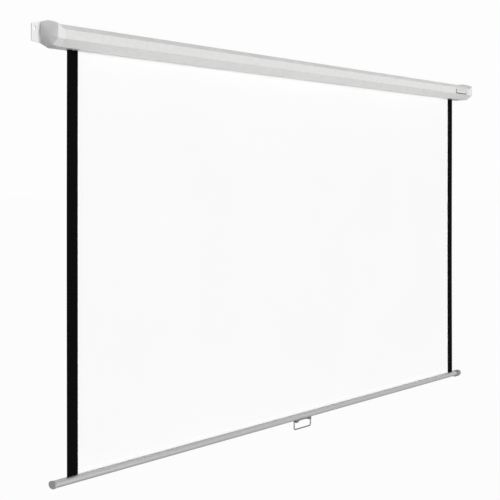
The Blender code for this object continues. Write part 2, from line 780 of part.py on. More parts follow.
def build_tube(model, carrier):
    obj = turned(
        [
            (TUBE_RADIUS, HALF_TUBE),
            (TUBE_RADIUS, -HALF_TUBE),
            (TUBE_BORE, -HALF_TUBE),
            (TUBE_BORE, HALF_TUBE),
            (TUBE_RADIUS, HALF_TUBE),
        ]
    )
    obj.location = (0.0, AXIS_Y, AXIS_Z)
    model.keep(smooth(obj), "roller_tube", "zinc_steel", carrier)


def build_idle_end(model, carrier):
    """The end that only turns: a plug in the tube, its pin, and a bush in the bracket."""
    bore = IDLE_PIN_RADIUS + TOUCH
    inside = -HALF_TUBE + PLUG_DEPTH
    face = -HALF_TUBE - PLUG_FLANGE
    plug = turned(
        [
            (bore, inside),
            (PLUG_RADIUS - 1 * MM, inside),
            (PLUG_RADIUS, inside - 1 * MM),
            (PLUG_RADIUS, -HALF_TUBE - TOUCH),
            (TUBE_RADIUS, -HALF_TUBE - TOUCH),
            (TUBE_RADIUS, face),
            (bore, face),
            (bore, inside),
        ]
    )
    plug.location = (0.0, AXIS_Y, AXIS_Z)
    model.keep(smooth(plug), "idle_plug", "acetal", carrier)

    pin_start = -HALF_TUBE + IDLE_PIN_IN_PLUG
    pin_end = -(BRACKET_X + BRACKET_THICKNESS + 4 * MM)
    pin = cylinder(
        IDLE_PIN_RADIUS, pin_start - pin_end, ((pin_start + pin_end) / 2, AXIS_Y, AXIS_Z), "X", 24
    )
    chamfer = pin.modifiers.new("chamfer", "BEVEL")
    chamfer.width = 0.5 * MM
    chamfer.segments = 1
    chamfer.limit_method = "ANGLE"
    model.keep(pin, "idle_pin", "zinc_steel", carrier)

    outer = IDLE_PIN_RADIUS + BUSH_WALL + TOUCH
    plate_inner = -BRACKET_X + TOUCH
    bush = turned(
        [
            (bore, plate_inner + BUSH_FLANGE),
            (outer + 2 * MM, plate_inner + BUSH_FLANGE),
            (outer + 2 * MM, plate_inner),
            (outer, plate_inner),
            (outer, -BRACKET_X - BRACKET_THICKNESS - 1 * MM),
            (bore, -BRACKET_X - BRACKET_THICKNESS - 1 * MM),
            (bore, plate_inner + BUSH_FLANGE),
        ],
        32,
    )
    bush.location = (0.0, AXIS_Y, AXIS_Z)
    model.keep(smooth(bush), "idle_bush", "acetal")


def build_pawl_carrier(model, carrier):
    """The plug at the spring end: it turns on the arbor and holds the pawls in a shallow cup."""
    bore = ARBOR_RADIUS + TOUCH
    inside = HALF_TUBE - PLUG_DEPTH
    face = HALF_TUBE + PLUG_FLANGE
    cup_end = CARRIER_FACE + RATCHET_THICKNESS + 1 * MM
    cup_bore = TUBE_RADIUS - CUP_WALL
    plug = turned(
        [
            (cup_bore, cup_end),
            (TUBE_RADIUS, cup_end),
            (TUBE_RADIUS, HALF_TUBE + TOUCH),
            (PLUG_RADIUS, HALF_TUBE + TOUCH),
            (PLUG_RADIUS, inside + 1 * MM),
            (PLUG_RADIUS - 1 * MM, inside),
            (bore, inside),
            (bore, face),
            (cup_bore, face),
            (cup_bore, cup_end),
        ]
    )
    plug.location = (0.0, AXIS_Y, AXIS_Z)
    for side, name in ((1, "upper"), (-1, "lower")):
        place = (face - 2 * MM, AXIS_Y, AXIS_Z + side * PAWL_PIVOT)
        hole = cylinder(PAWL_PIN_RADIUS + TOUCH, 8 * MM, place, "X", 16)
        cut(plug, model.cutter(hole, f"pawl_pin_hole_{name}"))
    model.keep(smooth(plug), "pawl_carrier", "acetal", carrier)


def build_arbor(model):
    """The fixed rod that the spring is wound on, flattened to a tongue where the bracket holds it."""
    length = ARBOR_END - ARBOR_START
    rod = cylinder(
        ARBOR_RADIUS, length, ((ARBOR_START + ARBOR_END) / 2, AXIS_Y, AXIS_Z), "X", 28
    )
    tongue_end = BRACKET_X + BRACKET_THICKNESS + 3 * MM
    tongue_start = ARBOR_END - 4 * MM
    tongue = box(
        (tongue_end - tongue_start, TONGUE_THICKNESS, 2 * ARBOR_RADIUS - 0.4 * MM),
        ((tongue_end + tongue_start) / 2, AXIS_Y, AXIS_Z),
    )
    cut(rod, model.cutter(tongue, "arbor_tongue"), "UNION")
    model.keep(rod, "spring_arbor", "zinc_steel")


def ratchet_outline():
    """Saw teeth that stop the roller from winding up: a slow ramp, then a radial step."""
    pitch = 360 / RATCHET_TEETH
    steps = 6
    points = []
    for tooth in range(RATCHET_TEETH):
        step_angle = tooth_step_angle() + tooth * pitch
        for step in range(steps + 1):
            share = step / steps
            radius = RATCHET_TIP + (RATCHET_ROOT - RATCHET_TIP) * share
            angle = math.radians(step_angle - pitch * (1 - share))
            points.append((AXIS_Y + radius * math.cos(angle), AXIS_Z + radius * math.sin(angle)))
    return points


def pawl_tip_angle():
    """How far the engaged tip lies round the axis from its pivot, in radians."""
    reach = RATCHET_ROOT + PAWL_TIP + 3 * TOUCH
    cosine = (PAWL_PIVOT**2 + reach**2 - PAWL_ARM**2) / (2 * PAWL_PIVOT * reach)
    return math.acos(cosine)


def tooth_step_angle():
    """The angle of the step that the upper pawl's tip rests against, in degrees."""
    reach = RATCHET_ROOT + PAWL_TIP + 3 * TOUCH
    clearance = math.asin((PAWL_TIP + TOUCH) / reach)
    return 90 + math.degrees(pawl_tip_angle() + clearance)


def pawl_arm_angle():
    """The direction from the upper pawl's pivot to its tip while it is lifted, in degrees."""
    tip = pawl_tip_angle()
    reach = RATCHET_ROOT + PAWL_TIP + 3 * TOUCH
    y = -reach * math.sin(tip)
    z = reach * math.cos(tip) - PAWL_PIVOT
    return math.degrees(math.atan2(z, y)) - PAWL_SWING


def pawl_outline():
    """A tapering finger from the eye round its pin to a small round tip, about its own pivot."""
    angle = pawl_arm_angle()
    lean = math.degrees(math.asin((PAWL_EYE - PAWL_TIP) / PAWL_ARM))
    direction = math.radians(angle)
    tip = (PAWL_ARM * math.cos(direction), PAWL_ARM * math.sin(direction))
    eye = arc((0.0, 0.0), PAWL_EYE, angle + 90 - lean, angle + 270 + lean, 12)
    end = arc(tip, PAWL_TIP, angle - 90 + lean, angle + 90 - lean, 6)
    return eye + end


def build_lock(model, carrier):
    """The fixed ratchet, and two pawls opposite each other on the turning carrier."""
    bore = arc((AXIS_Y, AXIS_Z), ARBOR_RADIUS + TOUCH, 360, 12, 29)
    centre = (LOCK_X, 0.0, 0.0)
    ratchet = plate([ratchet_outline(), bore], RATCHET_THICKNESS, centre, "YZ")
    model.keep(ratchet, "ratchet_disc", "zinc_steel")
    for turn, name in ((0, "upper"), (180, "lower")):
        side = math.cos(math.radians(turn))
        place = (LOCK_X, AXIS_Y, AXIS_Z + side * PAWL_PIVOT)
        pivot = model.carrier(f"pawl_{name}_axis", place)
        pivot.parent = carrier
        pivot.matrix_parent_inverse = carrier.matrix_world.inverted()
        bpy.context.view_layer.update()
        hole = arc((0.0, 0.0), PAWL_PIN_RADIUS + TOUCH, 360, 22.5, 15)
        pawl = plate([pawl_outline(), hole], PAWL_THICKNESS, (0.0, 0.0, 0.0), "YZ")
        spin = Matrix.Rotation(math.radians(turn), 4, "X")
        pawl.matrix_world = Matrix.Translation(place) @ spin @ pawl.matrix_world
        model.keep(pawl, f"pawl_{name}", "spring_steel", pivot)
        build_pawl_pin(model, carrier, place, name)


def build_pawl_pin(model, carrier, place, name):
    """The headed pin that a pawl swings on, pressed into the carrier."""
    pawl_face = PAWL_THICKNESS / 2 + TOUCH
    pin = turned(
        [
            (0.0, pawl_face + 1 * MM),
            (PAWL_PIN_HEAD, pawl_face + 1 * MM),
            (PAWL_PIN_HEAD, pawl_face),
            (PAWL_PIN_RADIUS, pawl_face),
            (PAWL_PIN_RADIUS, -7 * MM),
            (0.0, -7 * MM),
        ],
        16,
    )
    pin.location = place
    model.keep(smooth(pin), f"pawl_pin_{name}", "zinc_steel", carrier)


def coil_gap(points):
    """The least gap from the wire to its next coils, measured between points half a coil apart or more."""
    centres = np.array(points)
    least = math.inf
    for apart in range(POINTS_PER_COIL // 2, 2 * POINTS_PER_COIL):
        steps = np.linalg.norm(centres[apart:] - centres[:-apart], axis=1)
        least = min(least, float(steps.min()))
    return least - SPRING_WIRE


def build_spring(model, carrier):
    """The torsion spring round the arbor, with the two collars that hold its ends."""
    points = []
    for step in range(SPRING_TURNS * POINTS_PER_COIL + 1):
        turn = step / POINTS_PER_COIL
        angle = 2 * math.pi * turn
        y = AXIS_Y + SPRING_RADIUS * math.cos(angle)
        z = AXIS_Z + SPRING_RADIUS * math.sin(angle)
        points.append((SPRING_LEFT + turn * SPRING_PITCH, y, z))
    print("least gap between spring coils, m:", round(coil_gap(points), 5))
    model.keep(wire(points, SPRING_WIRE, 1), "torsion_spring", "spring_steel")

    bore = ARBOR_RADIUS + TOUCH
    for name, x, radius, owner in (
        ("fixed_anchor", FIXED_ANCHOR_X, SPRING_RADIUS + SPRING_WIRE / 2, None),
        ("turning_anchor", TURNING_ANCHOR_X, PLUG_RADIUS, carrier),
    ):
        high = x + ANCHOR_LENGTH / 2
        low = x - ANCHOR_LENGTH / 2
        collar = turned(
            [(bore, high), (radius, high), (radius, low), (bore, low), (bore, high)], 32
        )
        collar.location = (0.0, AXIS_Y, AXIS_Z)
        model.keep(smooth(collar), name, "acetal", owner)


def build_bar(model, carrier):
    """An oval extrusion: a hollow below, and a channel under the slot that keeps the hem rod."""
    centre = (FABRIC_Y, BAR_Z)
    outer = oval(BAR_DEPTH, BAR_HEIGHT, centre)
    obj = plate([outer], BAR_LENGTH, (0.0, 0.0, 0.0), "YZ")
    length = BAR_LENGTH + 10 * MM
    hollow = plate([bar_hollow_outline()], length, (0.0, 0.0, 0.0), "YZ")
    cut(obj, model.cutter(hollow, "bar_hollow"))
    channel = cylinder(CHANNEL_RADIUS, length, (0.0, FABRIC_Y, CHANNEL_Z), "X", 24)
    cut(obj, model.cutter(channel, "bar_channel"))
    throat = box((length, THROAT, 8 * MM), (0.0, FABRIC_Y, BAR_TOP))
    cut(obj, model.cutter(throat, "bar_throat"))
    for x in base_screw_places():
        hole = cylinder(SCREW_RADIUS + TOUCH, 10 * MM, (x, FABRIC_Y, BAR_BOTTOM), "Z", 20)
        cut(obj, model.cutter(hole, "bar_screw_hole"))
    model.keep(smooth(obj), "bottom_bar", "satin_aluminium", carrier)


def bar_hollow_outline():
    """The part of the bar's inside below the channel's floor."""
    width = BAR_DEPTH - 2 * BAR_WALL
    height = BAR_HEIGHT - 2 * BAR_WALL
    ceiling = CHANNEL_Z - CHANNEL_RADIUS - BAR_WALL
    inside = oval(width, height, (FABRIC_Y, BAR_Z), 64)
    return [(y, min(z, ceiling)) for y, z in inside if z < ceiling + height / 12]


def build_hem_rod(model, carrier):
    """The rod in the fabric's lower edge, which the throat of the bar holds back."""
    length = FABRIC_WIDTH - 4 * MM
    rod = cylinder(HEM_ROD_RADIUS, length, (0.0, FABRIC_Y, ROD_Z), "X", 16)
    model.keep(rod, "hem_rod", "zinc_steel", carrier)


def build_bar_cap(model, side, name, carrier):
    """A plastic cap a little larger than the bar, with a plug that fits its hollow."""
    x = side * (BAR_LENGTH / 2 + TOUCH + BAR_CAP_THICKNESS / 2)
    depth = BAR_DEPTH + 2 * BAR_CAP_PROUD
    height = BAR_HEIGHT + 2 * BAR_CAP_PROUD
    cap = plate([oval(depth, height, (FABRIC_Y, BAR_Z))], BAR_CAP_THICKNESS, (x, 0.0, 0.0), "YZ")
    rounding = cap.modifiers.new("rounding", "BEVEL")
    rounding.width = 1.8 * MM
    rounding.segments = 3
    rounding.limit_method = "ANGLE"
    rounding.angle_limit = math.radians(50)
    bottom = BAR_Z - BAR_HEIGHT / 2 + BAR_WALL + TOUCH
    ceiling = CHANNEL_Z - CHANNEL_RADIUS - BAR_WALL - TOUCH
    plug_height = (ceiling - bottom) * 0.8
    plug_x = side * (BAR_LENGTH / 2 + BAR_CAP_THICKNESS / 2 - BAR_CAP_PLUG / 2)
    plug = box(
        (BAR_CAP_PLUG + BAR_CAP_THICKNESS, BAR_DEPTH * 0.42, plug_height),
        (plug_x, FABRIC_Y, ceiling - plug_height / 2),
    )
    cut(cap, model.cutter(plug, f"{name}_plug"), "UNION")
    model.keep(smooth(cap), name, "grey_plastic", carrier)


def base_screw_places():
    return [-BASE_SCREW_SPACING / 2, BASE_SCREW_SPACING / 2]


def handle_side_outline():
    """The base seen from the front: a thin bridge between two deeper bosses."""
    half = BASE_LENGTH / 2
    inner = half - BOSS_LENGTH
    top = BAR_BOTTOM + BAR_HEIGHT / 6
    bridge = BAR_BOTTOM - BASE_BRIDGE - TOUCH
    low = BAR_BOTTOM - BOSS_DROP - TOUCH
    corners = [
        (-half, top),
        (half, top),
        (half, low),
        (inner + 3 * MM, low),
        (inner - 2 * MM, bridge),
        (-inner + 2 * MM, bridge),
        (-inner - 3 * MM, low),
        (-half, low),
    ]
    return filleted(corners, 1.5 * MM)


def build_handle_base(model, carrier):
    """The saddle under the bar: it fits the bar's round underside and holds the bail's ends."""
    obj = plate([handle_side_outline()], BASE_WIDTH, (0.0, FABRIC_Y, 0.0), "XZ")
    saddle = oval(BAR_DEPTH + 2 * TOUCH, BAR_HEIGHT + 2 * TOUCH, (FABRIC_Y, BAR_Z))
    seat = plate([saddle], BASE_LENGTH + 20 * MM, (0.0, 0.0, 0.0), "YZ")
    cut(obj, model.cutter(seat, "handle_base_seat"))
    for side in (-1, 1):
        start = BASE_LENGTH / 2 - BAIL_IN_BOSS - TOUCH
        place = (side * (start + 10 * MM), FABRIC_Y, PIVOT_Z)
        hole = cylinder(BAIL_WIRE / 2 + TOUCH, 20 * MM, place, "X", 20)
        cut(obj, model.cutter(hole, "bail_hole"))
    for x in base_screw_places():
        hole = cylinder(SCREW_RADIUS + TOUCH, 14 * MM, (x, FABRIC_Y, BAR_BOTTOM), "Z", 20)
        cut(obj, model.cutter(hole, "base_screw_hole"))
    model.keep(obj, "handle_base", "dark_plastic", carrier)
    for number, x in enumerate(base_screw_places(), 1):
        head_z = BAR_BOTTOM - BASE_BRIDGE - 2 * TOUCH
        fastener = screw(head_z, x, FABRIC_Y)
        model.keep(smooth(fastener), f"base_screw_{number}", "zinc_steel", carrier)


def bail_points():
    """Half of the bail's wire, from the middle of its grip to its end in the boss."""
    low = BAR_BOTTOM - BAIL_HEIGHT + BAIL_WIRE / 2
    inner_end = BASE_LENGTH / 2 - BAIL_IN_BOSS
    corner = arc((HALF_BAIL - BAIL_CORNER, low + BAIL_CORNER), BAIL_CORNER, -90, 0, 7)
    bend = arc((HALF_BAIL - BAIL_BEND, PIVOT_Z - BAIL_BEND), BAIL_BEND, 0, 90, 5)
    return [(0.0, low), *corner, *bend, (inner_end, PIVOT_Z)]


def build_bail(model, carrier):
    """The wire pull: a flat D that swings in the two bosses."""
    half = bail_points()
    flat = [(-x, z) for x, z in reversed(half[1:])] + half
    axis = model.carrier("bail_axis", (0.0, FABRIC_Y, PIVOT_Z))
    axis.parent = carrier
    axis.matrix_parent_inverse = carrier.matrix_world.inverted()
    bpy.context.view_layer.update()
    bail = wire([(x, FABRIC_Y, z) for x, z in flat], BAIL_WIRE, 2)
    model.keep(bail, "handle_bail", "plated_wire", axis)


def main():
    clear_scene()
    model = Model()

    build_case(model)
    build_end_cap(model, -1, "end_cap_left")
    build_end_cap(model, 1, "end_cap_right")
    build_bracket(model, -1, "idle_bracket", idle_opening())
    build_bracket(model, 1, "spring_bracket", tongue_opening())
    build_case_screws(model)
    build_arbor(model)
    build_fabric(model)

    roller = model.carrier("roller_axis", (0.0, AXIS_Y, AXIS_Z))
    build_tube(model, roller)
    build_wrap(model, roller)
    build_idle_end(model, roller)
    build_pawl_carrier(model, roller)
    build_lock(model, roller)
    build_spring(model, roller)

    bar = model.carrier("bar_carrier", (0.0, FABRIC_Y, BAR_Z))
    build_bar(model, bar)
    build_hem_rod(model, bar)
    build_bar_cap(model, -1, "bar_cap_left", bar)
    build_bar_cap(model, 1, "bar_cap_right", bar)
    build_handle_base(model, bar)
    build_bail(model, bar)


main()
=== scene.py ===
"""Finishes, cloth, lights and camera of a pull-down projector screen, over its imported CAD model.

X runs along the screen, -Y faces the room and +Z is up, in metres. The origin lies on the wall,
at the middle of the case's flat back, and the screen hangs fully pulled down.
"""

import logging
import math
from dataclasses import dataclass
from enum import Enum, IntEnum
from typing import Callable

import bmesh
import bpy
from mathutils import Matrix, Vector


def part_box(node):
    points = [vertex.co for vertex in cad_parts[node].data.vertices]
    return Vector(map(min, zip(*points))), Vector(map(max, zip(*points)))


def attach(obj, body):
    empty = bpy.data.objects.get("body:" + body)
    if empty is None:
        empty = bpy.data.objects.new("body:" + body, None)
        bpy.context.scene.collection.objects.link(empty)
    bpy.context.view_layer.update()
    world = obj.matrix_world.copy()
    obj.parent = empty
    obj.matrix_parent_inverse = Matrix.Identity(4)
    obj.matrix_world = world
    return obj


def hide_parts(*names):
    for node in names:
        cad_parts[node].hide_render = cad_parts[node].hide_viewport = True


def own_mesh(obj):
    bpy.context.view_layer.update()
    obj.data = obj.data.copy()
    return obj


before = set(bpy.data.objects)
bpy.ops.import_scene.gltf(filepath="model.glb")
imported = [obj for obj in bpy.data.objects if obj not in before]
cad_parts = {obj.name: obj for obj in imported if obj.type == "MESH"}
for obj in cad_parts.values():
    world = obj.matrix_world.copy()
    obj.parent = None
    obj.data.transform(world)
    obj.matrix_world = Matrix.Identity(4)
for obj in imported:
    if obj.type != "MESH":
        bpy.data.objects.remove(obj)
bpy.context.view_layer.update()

Colour = tuple[float, float, float]
Place = tuple[float, float, float]
Range = tuple[float, float]
Node = bpy.types.Node
Socket = bpy.types.NodeSocket
Value = float | Colour | Socket
BMesh = bmesh.types.BMesh
Row = list[bmesh.types.BMVert]

MM = 0.001
BORDER_WIDTH = 42 * MM
GREEN_LOSS = 0.3
LOG = logging.getLogger("projector_screen")


def grey(level: float, warmth: float = 0.0) -> Colour:
    """A neutral colour, turned a little towards yellow by the warmth."""
    return (level, level * (1 - GREEN_LOSS * warmth), level * (1 - warmth))


def scaled(colour: Colour, share: float) -> Colour:
    """The colour made darker or lighter by a share."""
    return tuple(min(1.0, channel * share) for channel in colour)


DUST_COLOUR = grey(0.5, 0.1)


class Graph:
    """A shader node tree that is being filled."""

    # A Mix node has one set of sockets for each kind of data. These are the colour mode's.
    MIX_SHARE = 0
    MIX_FIRST = 6
    MIX_SECOND = 7
    MIX_RESULT = 2

    def __init__(self, tree: bpy.types.NodeTree) -> None:
        """Starts with an empty tree.

        Args:
            tree: The tree of a material, a world or a node group.
        """
        self.tree = tree
        tree.nodes.clear()

    def add(self, kind: str, **settings: object) -> Node:
        """Adds one node.

        Args:
            kind: The node's type name.
            **settings: Properties to set on it.

        Returns:
            The new node.
        """
        node = self.tree.nodes.new(kind)
        for name, value in settings.items():
            setattr(node, name, value)
        return node

    def feed(self, socket: Socket, value: Value) -> None:
        """Joins a socket to the input, or sets a constant on it.

        Args:
            socket: The input.
            value: Another node's output, a number or a colour.
        """
        if isinstance(value, Socket):
            self.tree.links.new(value, socket)
        elif isinstance(value, tuple) and socket.type == "RGBA":
            socket.default_value = (*value, 1.0)
        else:
            socket.default_value = value

    def maths(self, operation: str, first: Value, second: Value = 0.0) -> Socket:
        """Adds a Math node.

        Args:
            operation: The operation's name.
            first: The first value.
            second: The second value, where the operation takes one.

        Returns:
            The result.
        """
        node = self.add("ShaderNodeMath", operation=operation)
        self.feed(node.inputs[0], first)
        self.feed(node.inputs[1], second)
        return node.outputs[0]

    def ramp(
        self, value: Value, low: float, high: float, start: float = 0.0, end: float = 1.0
    ) -> Socket:
        """Maps a value from one range to another, and clamps it there.

        Args:
            value: What is mapped.
            low: The value that gives start.
            high: The value that gives end.
            start: The result at low.
            end: The result at high.

        Returns:
            The mapped value.
        """
        node = self.add("ShaderNodeMapRange", clamp=True)
        for socket, number in zip(node.inputs, (value, low, high, start, end)):
            self.feed(socket, number)
        return node.outputs["Result"]

    def blend(self, share: Value, first: Value, second: Value) -> Socket:
        """Mixes two colours.

        Args:
            share: How much of the second shows.
            first: The colour at 0.
            second: The colour at 1.

        Returns:
            The mixed colour.
        """
        node = self.add("ShaderNodeMix", data_type="RGBA")
        self.feed(node.inputs[self.MIX_SHARE], share)
        self.feed(node.inputs[self.MIX_FIRST], first)
        self.feed(node.inputs[self.MIX_SECOND], second)
        return node.outputs[self.MIX_RESULT]

    def bump(self, height: Value, depth: float) -> Socket:
        """Adds a Bump node.

        Args:
            height: The relief, from 0 to 1.
            depth: The relief's depth in metres.

        Returns:
            The changed normal.
        """
        node = self.add("ShaderNodeBump")
        node.inputs["Distance"].default_value = depth
        self.feed(node.inputs["Height"], height)
        return node.outputs["Normal"]


class Effect(Enum):
    """The surface effects that several finishes share."""

    GRAIN = "moulded_grain"
    LINES = "drawn_lines"
    WEAVE = "cloth_weave"
    WEAR = "edge_wear"
    DUST = "settled_dust"
    SPANGLE = "zinc_spangle"


class EffectLibrary:
    """Builds each effect once, as a node group, and places it in the materials.

    A range is where a mask starts and where it is full. Patches are given as features per metre
    and how many finer layers they have.
    """

    NOISE_RANGE: Range = (0.3, 0.7)
    LINE_RANGE: Range = (0.4, 0.6)
    EDGE_RANGE: Range = (0.52, 0.6)
    RUBBED_RANGE: Range = (0.45, 0.62)
    UPWARD_RANGE: Range = (0.55, 0.98)
    THREAD_RANGE: Range = (-1.0, 1.0)
    RUBBED_PATCHES: Range = (60.0, 4.0)
    DUST_PATCHES: Range = (14.0, 5.0)
    CLOTH_PATCHES: Range = (2.5, 2.0)
    FINE_LAYERS = 2.0
    COARSE_LAYERS = 3.0

    def __init__(self) -> None:
        """Starts with no group built."""
        self.groups: dict[Effect, bpy.types.NodeTree] = {}
        self.builders: dict[Effect, Callable[[Graph, Node, Node], None]] = {
            Effect.GRAIN: self.fill_grain,
            Effect.LINES: self.fill_lines,
            Effect.WEAVE: self.fill_weave,
            Effect.WEAR: self.fill_wear,
            Effect.DUST: self.fill_dust,
            Effect.SPANGLE: self.fill_spangle,
        }
        self.sockets: dict[Effect, tuple[tuple[str, ...], tuple[str, ...]]] = {
            Effect.GRAIN: (("Fine", "Coarse"), ("Height", "Tone")),
            Effect.LINES: (("Along", "Across"), ("Height", "Tone")),
            Effect.WEAVE: (("Threads",), ("Height", "Tone")),
            Effect.WEAR: (("Amount",), ("Mask",)),
            Effect.DUST: (("Amount",), ("Mask",)),
            Effect.SPANGLE: (("Cells",), ("Tone",)),
        }

    def place(self, graph: Graph, effect: Effect, **inputs: float) -> Node:
        """Puts an effect into a material.

        Args:
            graph: The material's graph.
            effect: Which effect.
            **inputs: The values of its inputs.

        Returns:
            The group node, whose outputs carry the effect.
        """
        if effect not in self.groups:
            self.groups[effect] = self.build(effect)
        node = graph.add("ShaderNodeGroup", node_tree=self.groups[effect])
        for name, value in inputs.items():
            node.inputs[name].default_value = value
        return node

    def build(self, effect: Effect) -> bpy.types.NodeTree:
        """Makes the node group of an effect.

        Args:
            effect: Which effect.

        Returns:
            The filled group.
        """
        tree = bpy.data.node_groups.new(effect.value, "ShaderNodeTree")
        taken, given = self.sockets[effect]
        for name in taken:
            tree.interface.new_socket(name, in_out="INPUT", socket_type="NodeSocketFloat")
        for name in given:
            tree.interface.new_socket(name, in_out="OUTPUT", socket_type="NodeSocketFloat")
        graph = Graph(tree)
        self.builders[effect](graph, graph.add("NodeGroupInput"), graph.add("NodeGroupOutput"))
        return tree

    @staticmethod
    def object_point(graph: Graph) -> Socket:
        """The shaded point in the object's own coordinates."""
        return graph.add("ShaderNodeTexCoord").outputs["Object"]

    @staticmethod
    def noise(graph: Graph, point: Socket, scale: Value, detail: float) -> Socket:
        """Adds a noise texture.

        Args:
            graph: The graph it goes into.
            point: Where the noise is read.
            scale: Features per metre.
            detail: How many finer layers it has.

        Returns:
            The noise, about 0.25 to 0.75.
        """
        node = graph.add("ShaderNodeTexNoise")
        node.inputs["Detail"].default_value = detail
        graph.feed(node.inputs["Vector"], point)
        graph.feed(node.inputs["Scale"], scale)
        return node.outputs["Fac"]

    def fill_grain(self, graph: Graph, taken: Node, given: Node) -> None:
        """A fine pebbled relief, with a slow change of tone.

        Args:
            graph: The group's graph.
            taken: Its input node.
            given: Its output node.
        """
        point = self.object_point(graph)
        fine = self.noise(graph, point, taken.outputs["Fine"], self.FINE_LAYERS)
        coarse = self.noise(graph, point, taken.outputs["Coarse"], self.COARSE_LAYERS)
        graph.feed(given.inputs["Height"], graph.ramp(fine, *self.NOISE_RANGE))
        graph.feed(given.inputs["Tone"], graph.ramp(coarse, *self.NOISE_RANGE))

    def fill_lines(self, graph: Graph, taken: Node, given: Node) -> None:
        """Long fine lines along X, as a drawn or rolled surface has.

        Args:
            graph: The group's graph.
            taken: Its input node.
            given: Its output node.
        """
        stretch = graph.add("ShaderNodeCombineXYZ")
        graph.feed(stretch.inputs["X"], taken.outputs["Along"])
        graph.feed(stretch.inputs["Y"], taken.outputs["Across"])
        graph.feed(stretch.inputs["Z"], taken.outputs["Across"])
        point = graph.add("ShaderNodeVectorMath", operation="MULTIPLY")
        graph.feed(point.inputs[0], self.object_point(graph))
        graph.feed(point.inputs[1], stretch.outputs[0])
        lines = self.noise(graph, point.outputs[0], 1.0, self.FINE_LAYERS)
        graph.feed(given.inputs["Height"], graph.ramp(lines, *self.NOISE_RANGE))
        graph.feed(given.inputs["Tone"], graph.ramp(lines, *self.LINE_RANGE))

    def fill_weave(self, graph: Graph, taken: Node, given: Node) -> None:
        """The print of a plain weave under a coating, with threads along X and Z.

        Args:
            graph: The group's graph.
            taken: Its input node.
            given: Its output node.
        """
        point = graph.add("ShaderNodeSeparateXYZ")
        graph.feed(point.inputs[0], self.object_point(graph))
        turn = graph.maths("MULTIPLY", taken.outputs["Threads"], math.pi)
        warp = graph.maths("SINE", graph.maths("MULTIPLY", point.outputs["X"], turn))
        weft = graph.maths("SINE", graph.maths("MULTIPLY", point.outputs["Z"], turn))
        crossing = graph.maths("MULTIPLY", warp, weft)
        slow = self.noise(graph, self.object_point(graph), *self.CLOTH_PATCHES)
        graph.feed(given.inputs["Height"], graph.ramp(crossing, *self.THREAD_RANGE))
        graph.feed(given.inputs["Tone"], graph.ramp(slow, *self.NOISE_RANGE))

    def fill_wear(self, graph: Graph, taken: Node, given: Node) -> None:
        """A broken mask along the outward edges.

        Args:
            graph: The group's graph.
            taken: Its input node.
            given: Its output node.
        """
        sharpness = graph.add("ShaderNodeNewGeometry").outputs["Pointiness"]
        edge = graph.ramp(sharpness, *self.EDGE_RANGE)
        patches = self.noise(graph, self.object_point(graph), *self.RUBBED_PATCHES)
        worn = graph.maths("MULTIPLY", edge, graph.ramp(patches, *self.RUBBED_RANGE))
        graph.feed(given.inputs["Mask"], graph.maths("MULTIPLY", worn, taken.outputs["Amount"]))

    def fill_dust(self, graph: Graph, taken: Node, given: Node) -> None:
        """A patchy mask on the faces that look up.

        Args:
            graph: The group's graph.
            taken: Its input node.
            given: Its output node.
        """
        facing = graph.add("ShaderNodeSeparateXYZ")
        graph.feed(facing.inputs[0], graph.add("ShaderNodeNewGeometry").outputs["Normal"])
        upward = graph.ramp(facing.outputs["Z"], *self.UPWARD_RANGE)
        patches = self.noise(graph, self.object_point(graph), *self.DUST_PATCHES)
        lying = graph.maths("MULTIPLY", upward, graph.ramp(patches, *self.NOISE_RANGE))
        graph.feed(given.inputs["Mask"], graph.maths("MULTIPLY", lying, taken.outputs["Amount"]))

    def fill_spangle(self, graph: Graph, taken: Node, given: Node) -> None:
        """The crystal patches of a zinc coat.

        Args:
            graph: The group's graph.
            taken: Its input node.
            given: Its output node.
        """
        cells = graph.add("ShaderNodeTexVoronoi")
        graph.feed(cells.inputs["Vector"], self.object_point(graph))
        graph.feed(cells.inputs["Scale"], taken.outputs["Cells"])
        patch = graph.add("ShaderNodeSeparateColor")
        graph.feed(patch.inputs[0], cells.outputs["Color"])
        graph.feed(given.inputs["Tone"], patch.outputs[0])


@dataclass(frozen=True)
class Finish:
    """What every finish has: its name, colour and gloss."""

    name: str
    colour: Colour
    roughness: float
    specular: float = 0.5

    def build(self, effects: EffectLibrary) -> bpy.types.Material:
        """Makes the material.

        Args:
            effects: The shared effects.

        Returns:
            The finished material.
        """
        material = bpy.data.materials.new(self.name)
        material.use_nodes = True
        graph = Graph(material.node_tree)
        shader = graph.add("ShaderNodeBsdfPrincipled")
        output = graph.add("ShaderNodeOutputMaterial")
        graph.feed(output.inputs["Surface"], shader.outputs["BSDF"])
        shader.inputs["Specular IOR Level"].default_value = self.specular
        self.dress(graph, shader, effects)
        return material

    def toned(self, graph: Graph, mask: Value, shares: Range) -> Socket:
        """The finish's colour, times the first share where the mask is 0 and the second at 1."""
        return graph.blend(mask, *(scaled(self.colour, share) for share in shares))

    def roughened(self, graph: Graph, mask: Value, changes: Range) -> Socket:
        """The finish's roughness, plus the first change where the mask is 0 and the second at 1."""
        return graph.ramp(mask, 0, 1, *(self.roughness + change for change in changes))

    def dress(self, graph: Graph, shader: Node, effects: EffectLibrary) -> None:
        """Joins the finish's own nodes to the shader.

        Args:
            graph: The material's graph.
            shader: Its Principled shader.
            effects: The shared effects.
        """
        raise NotImplementedError


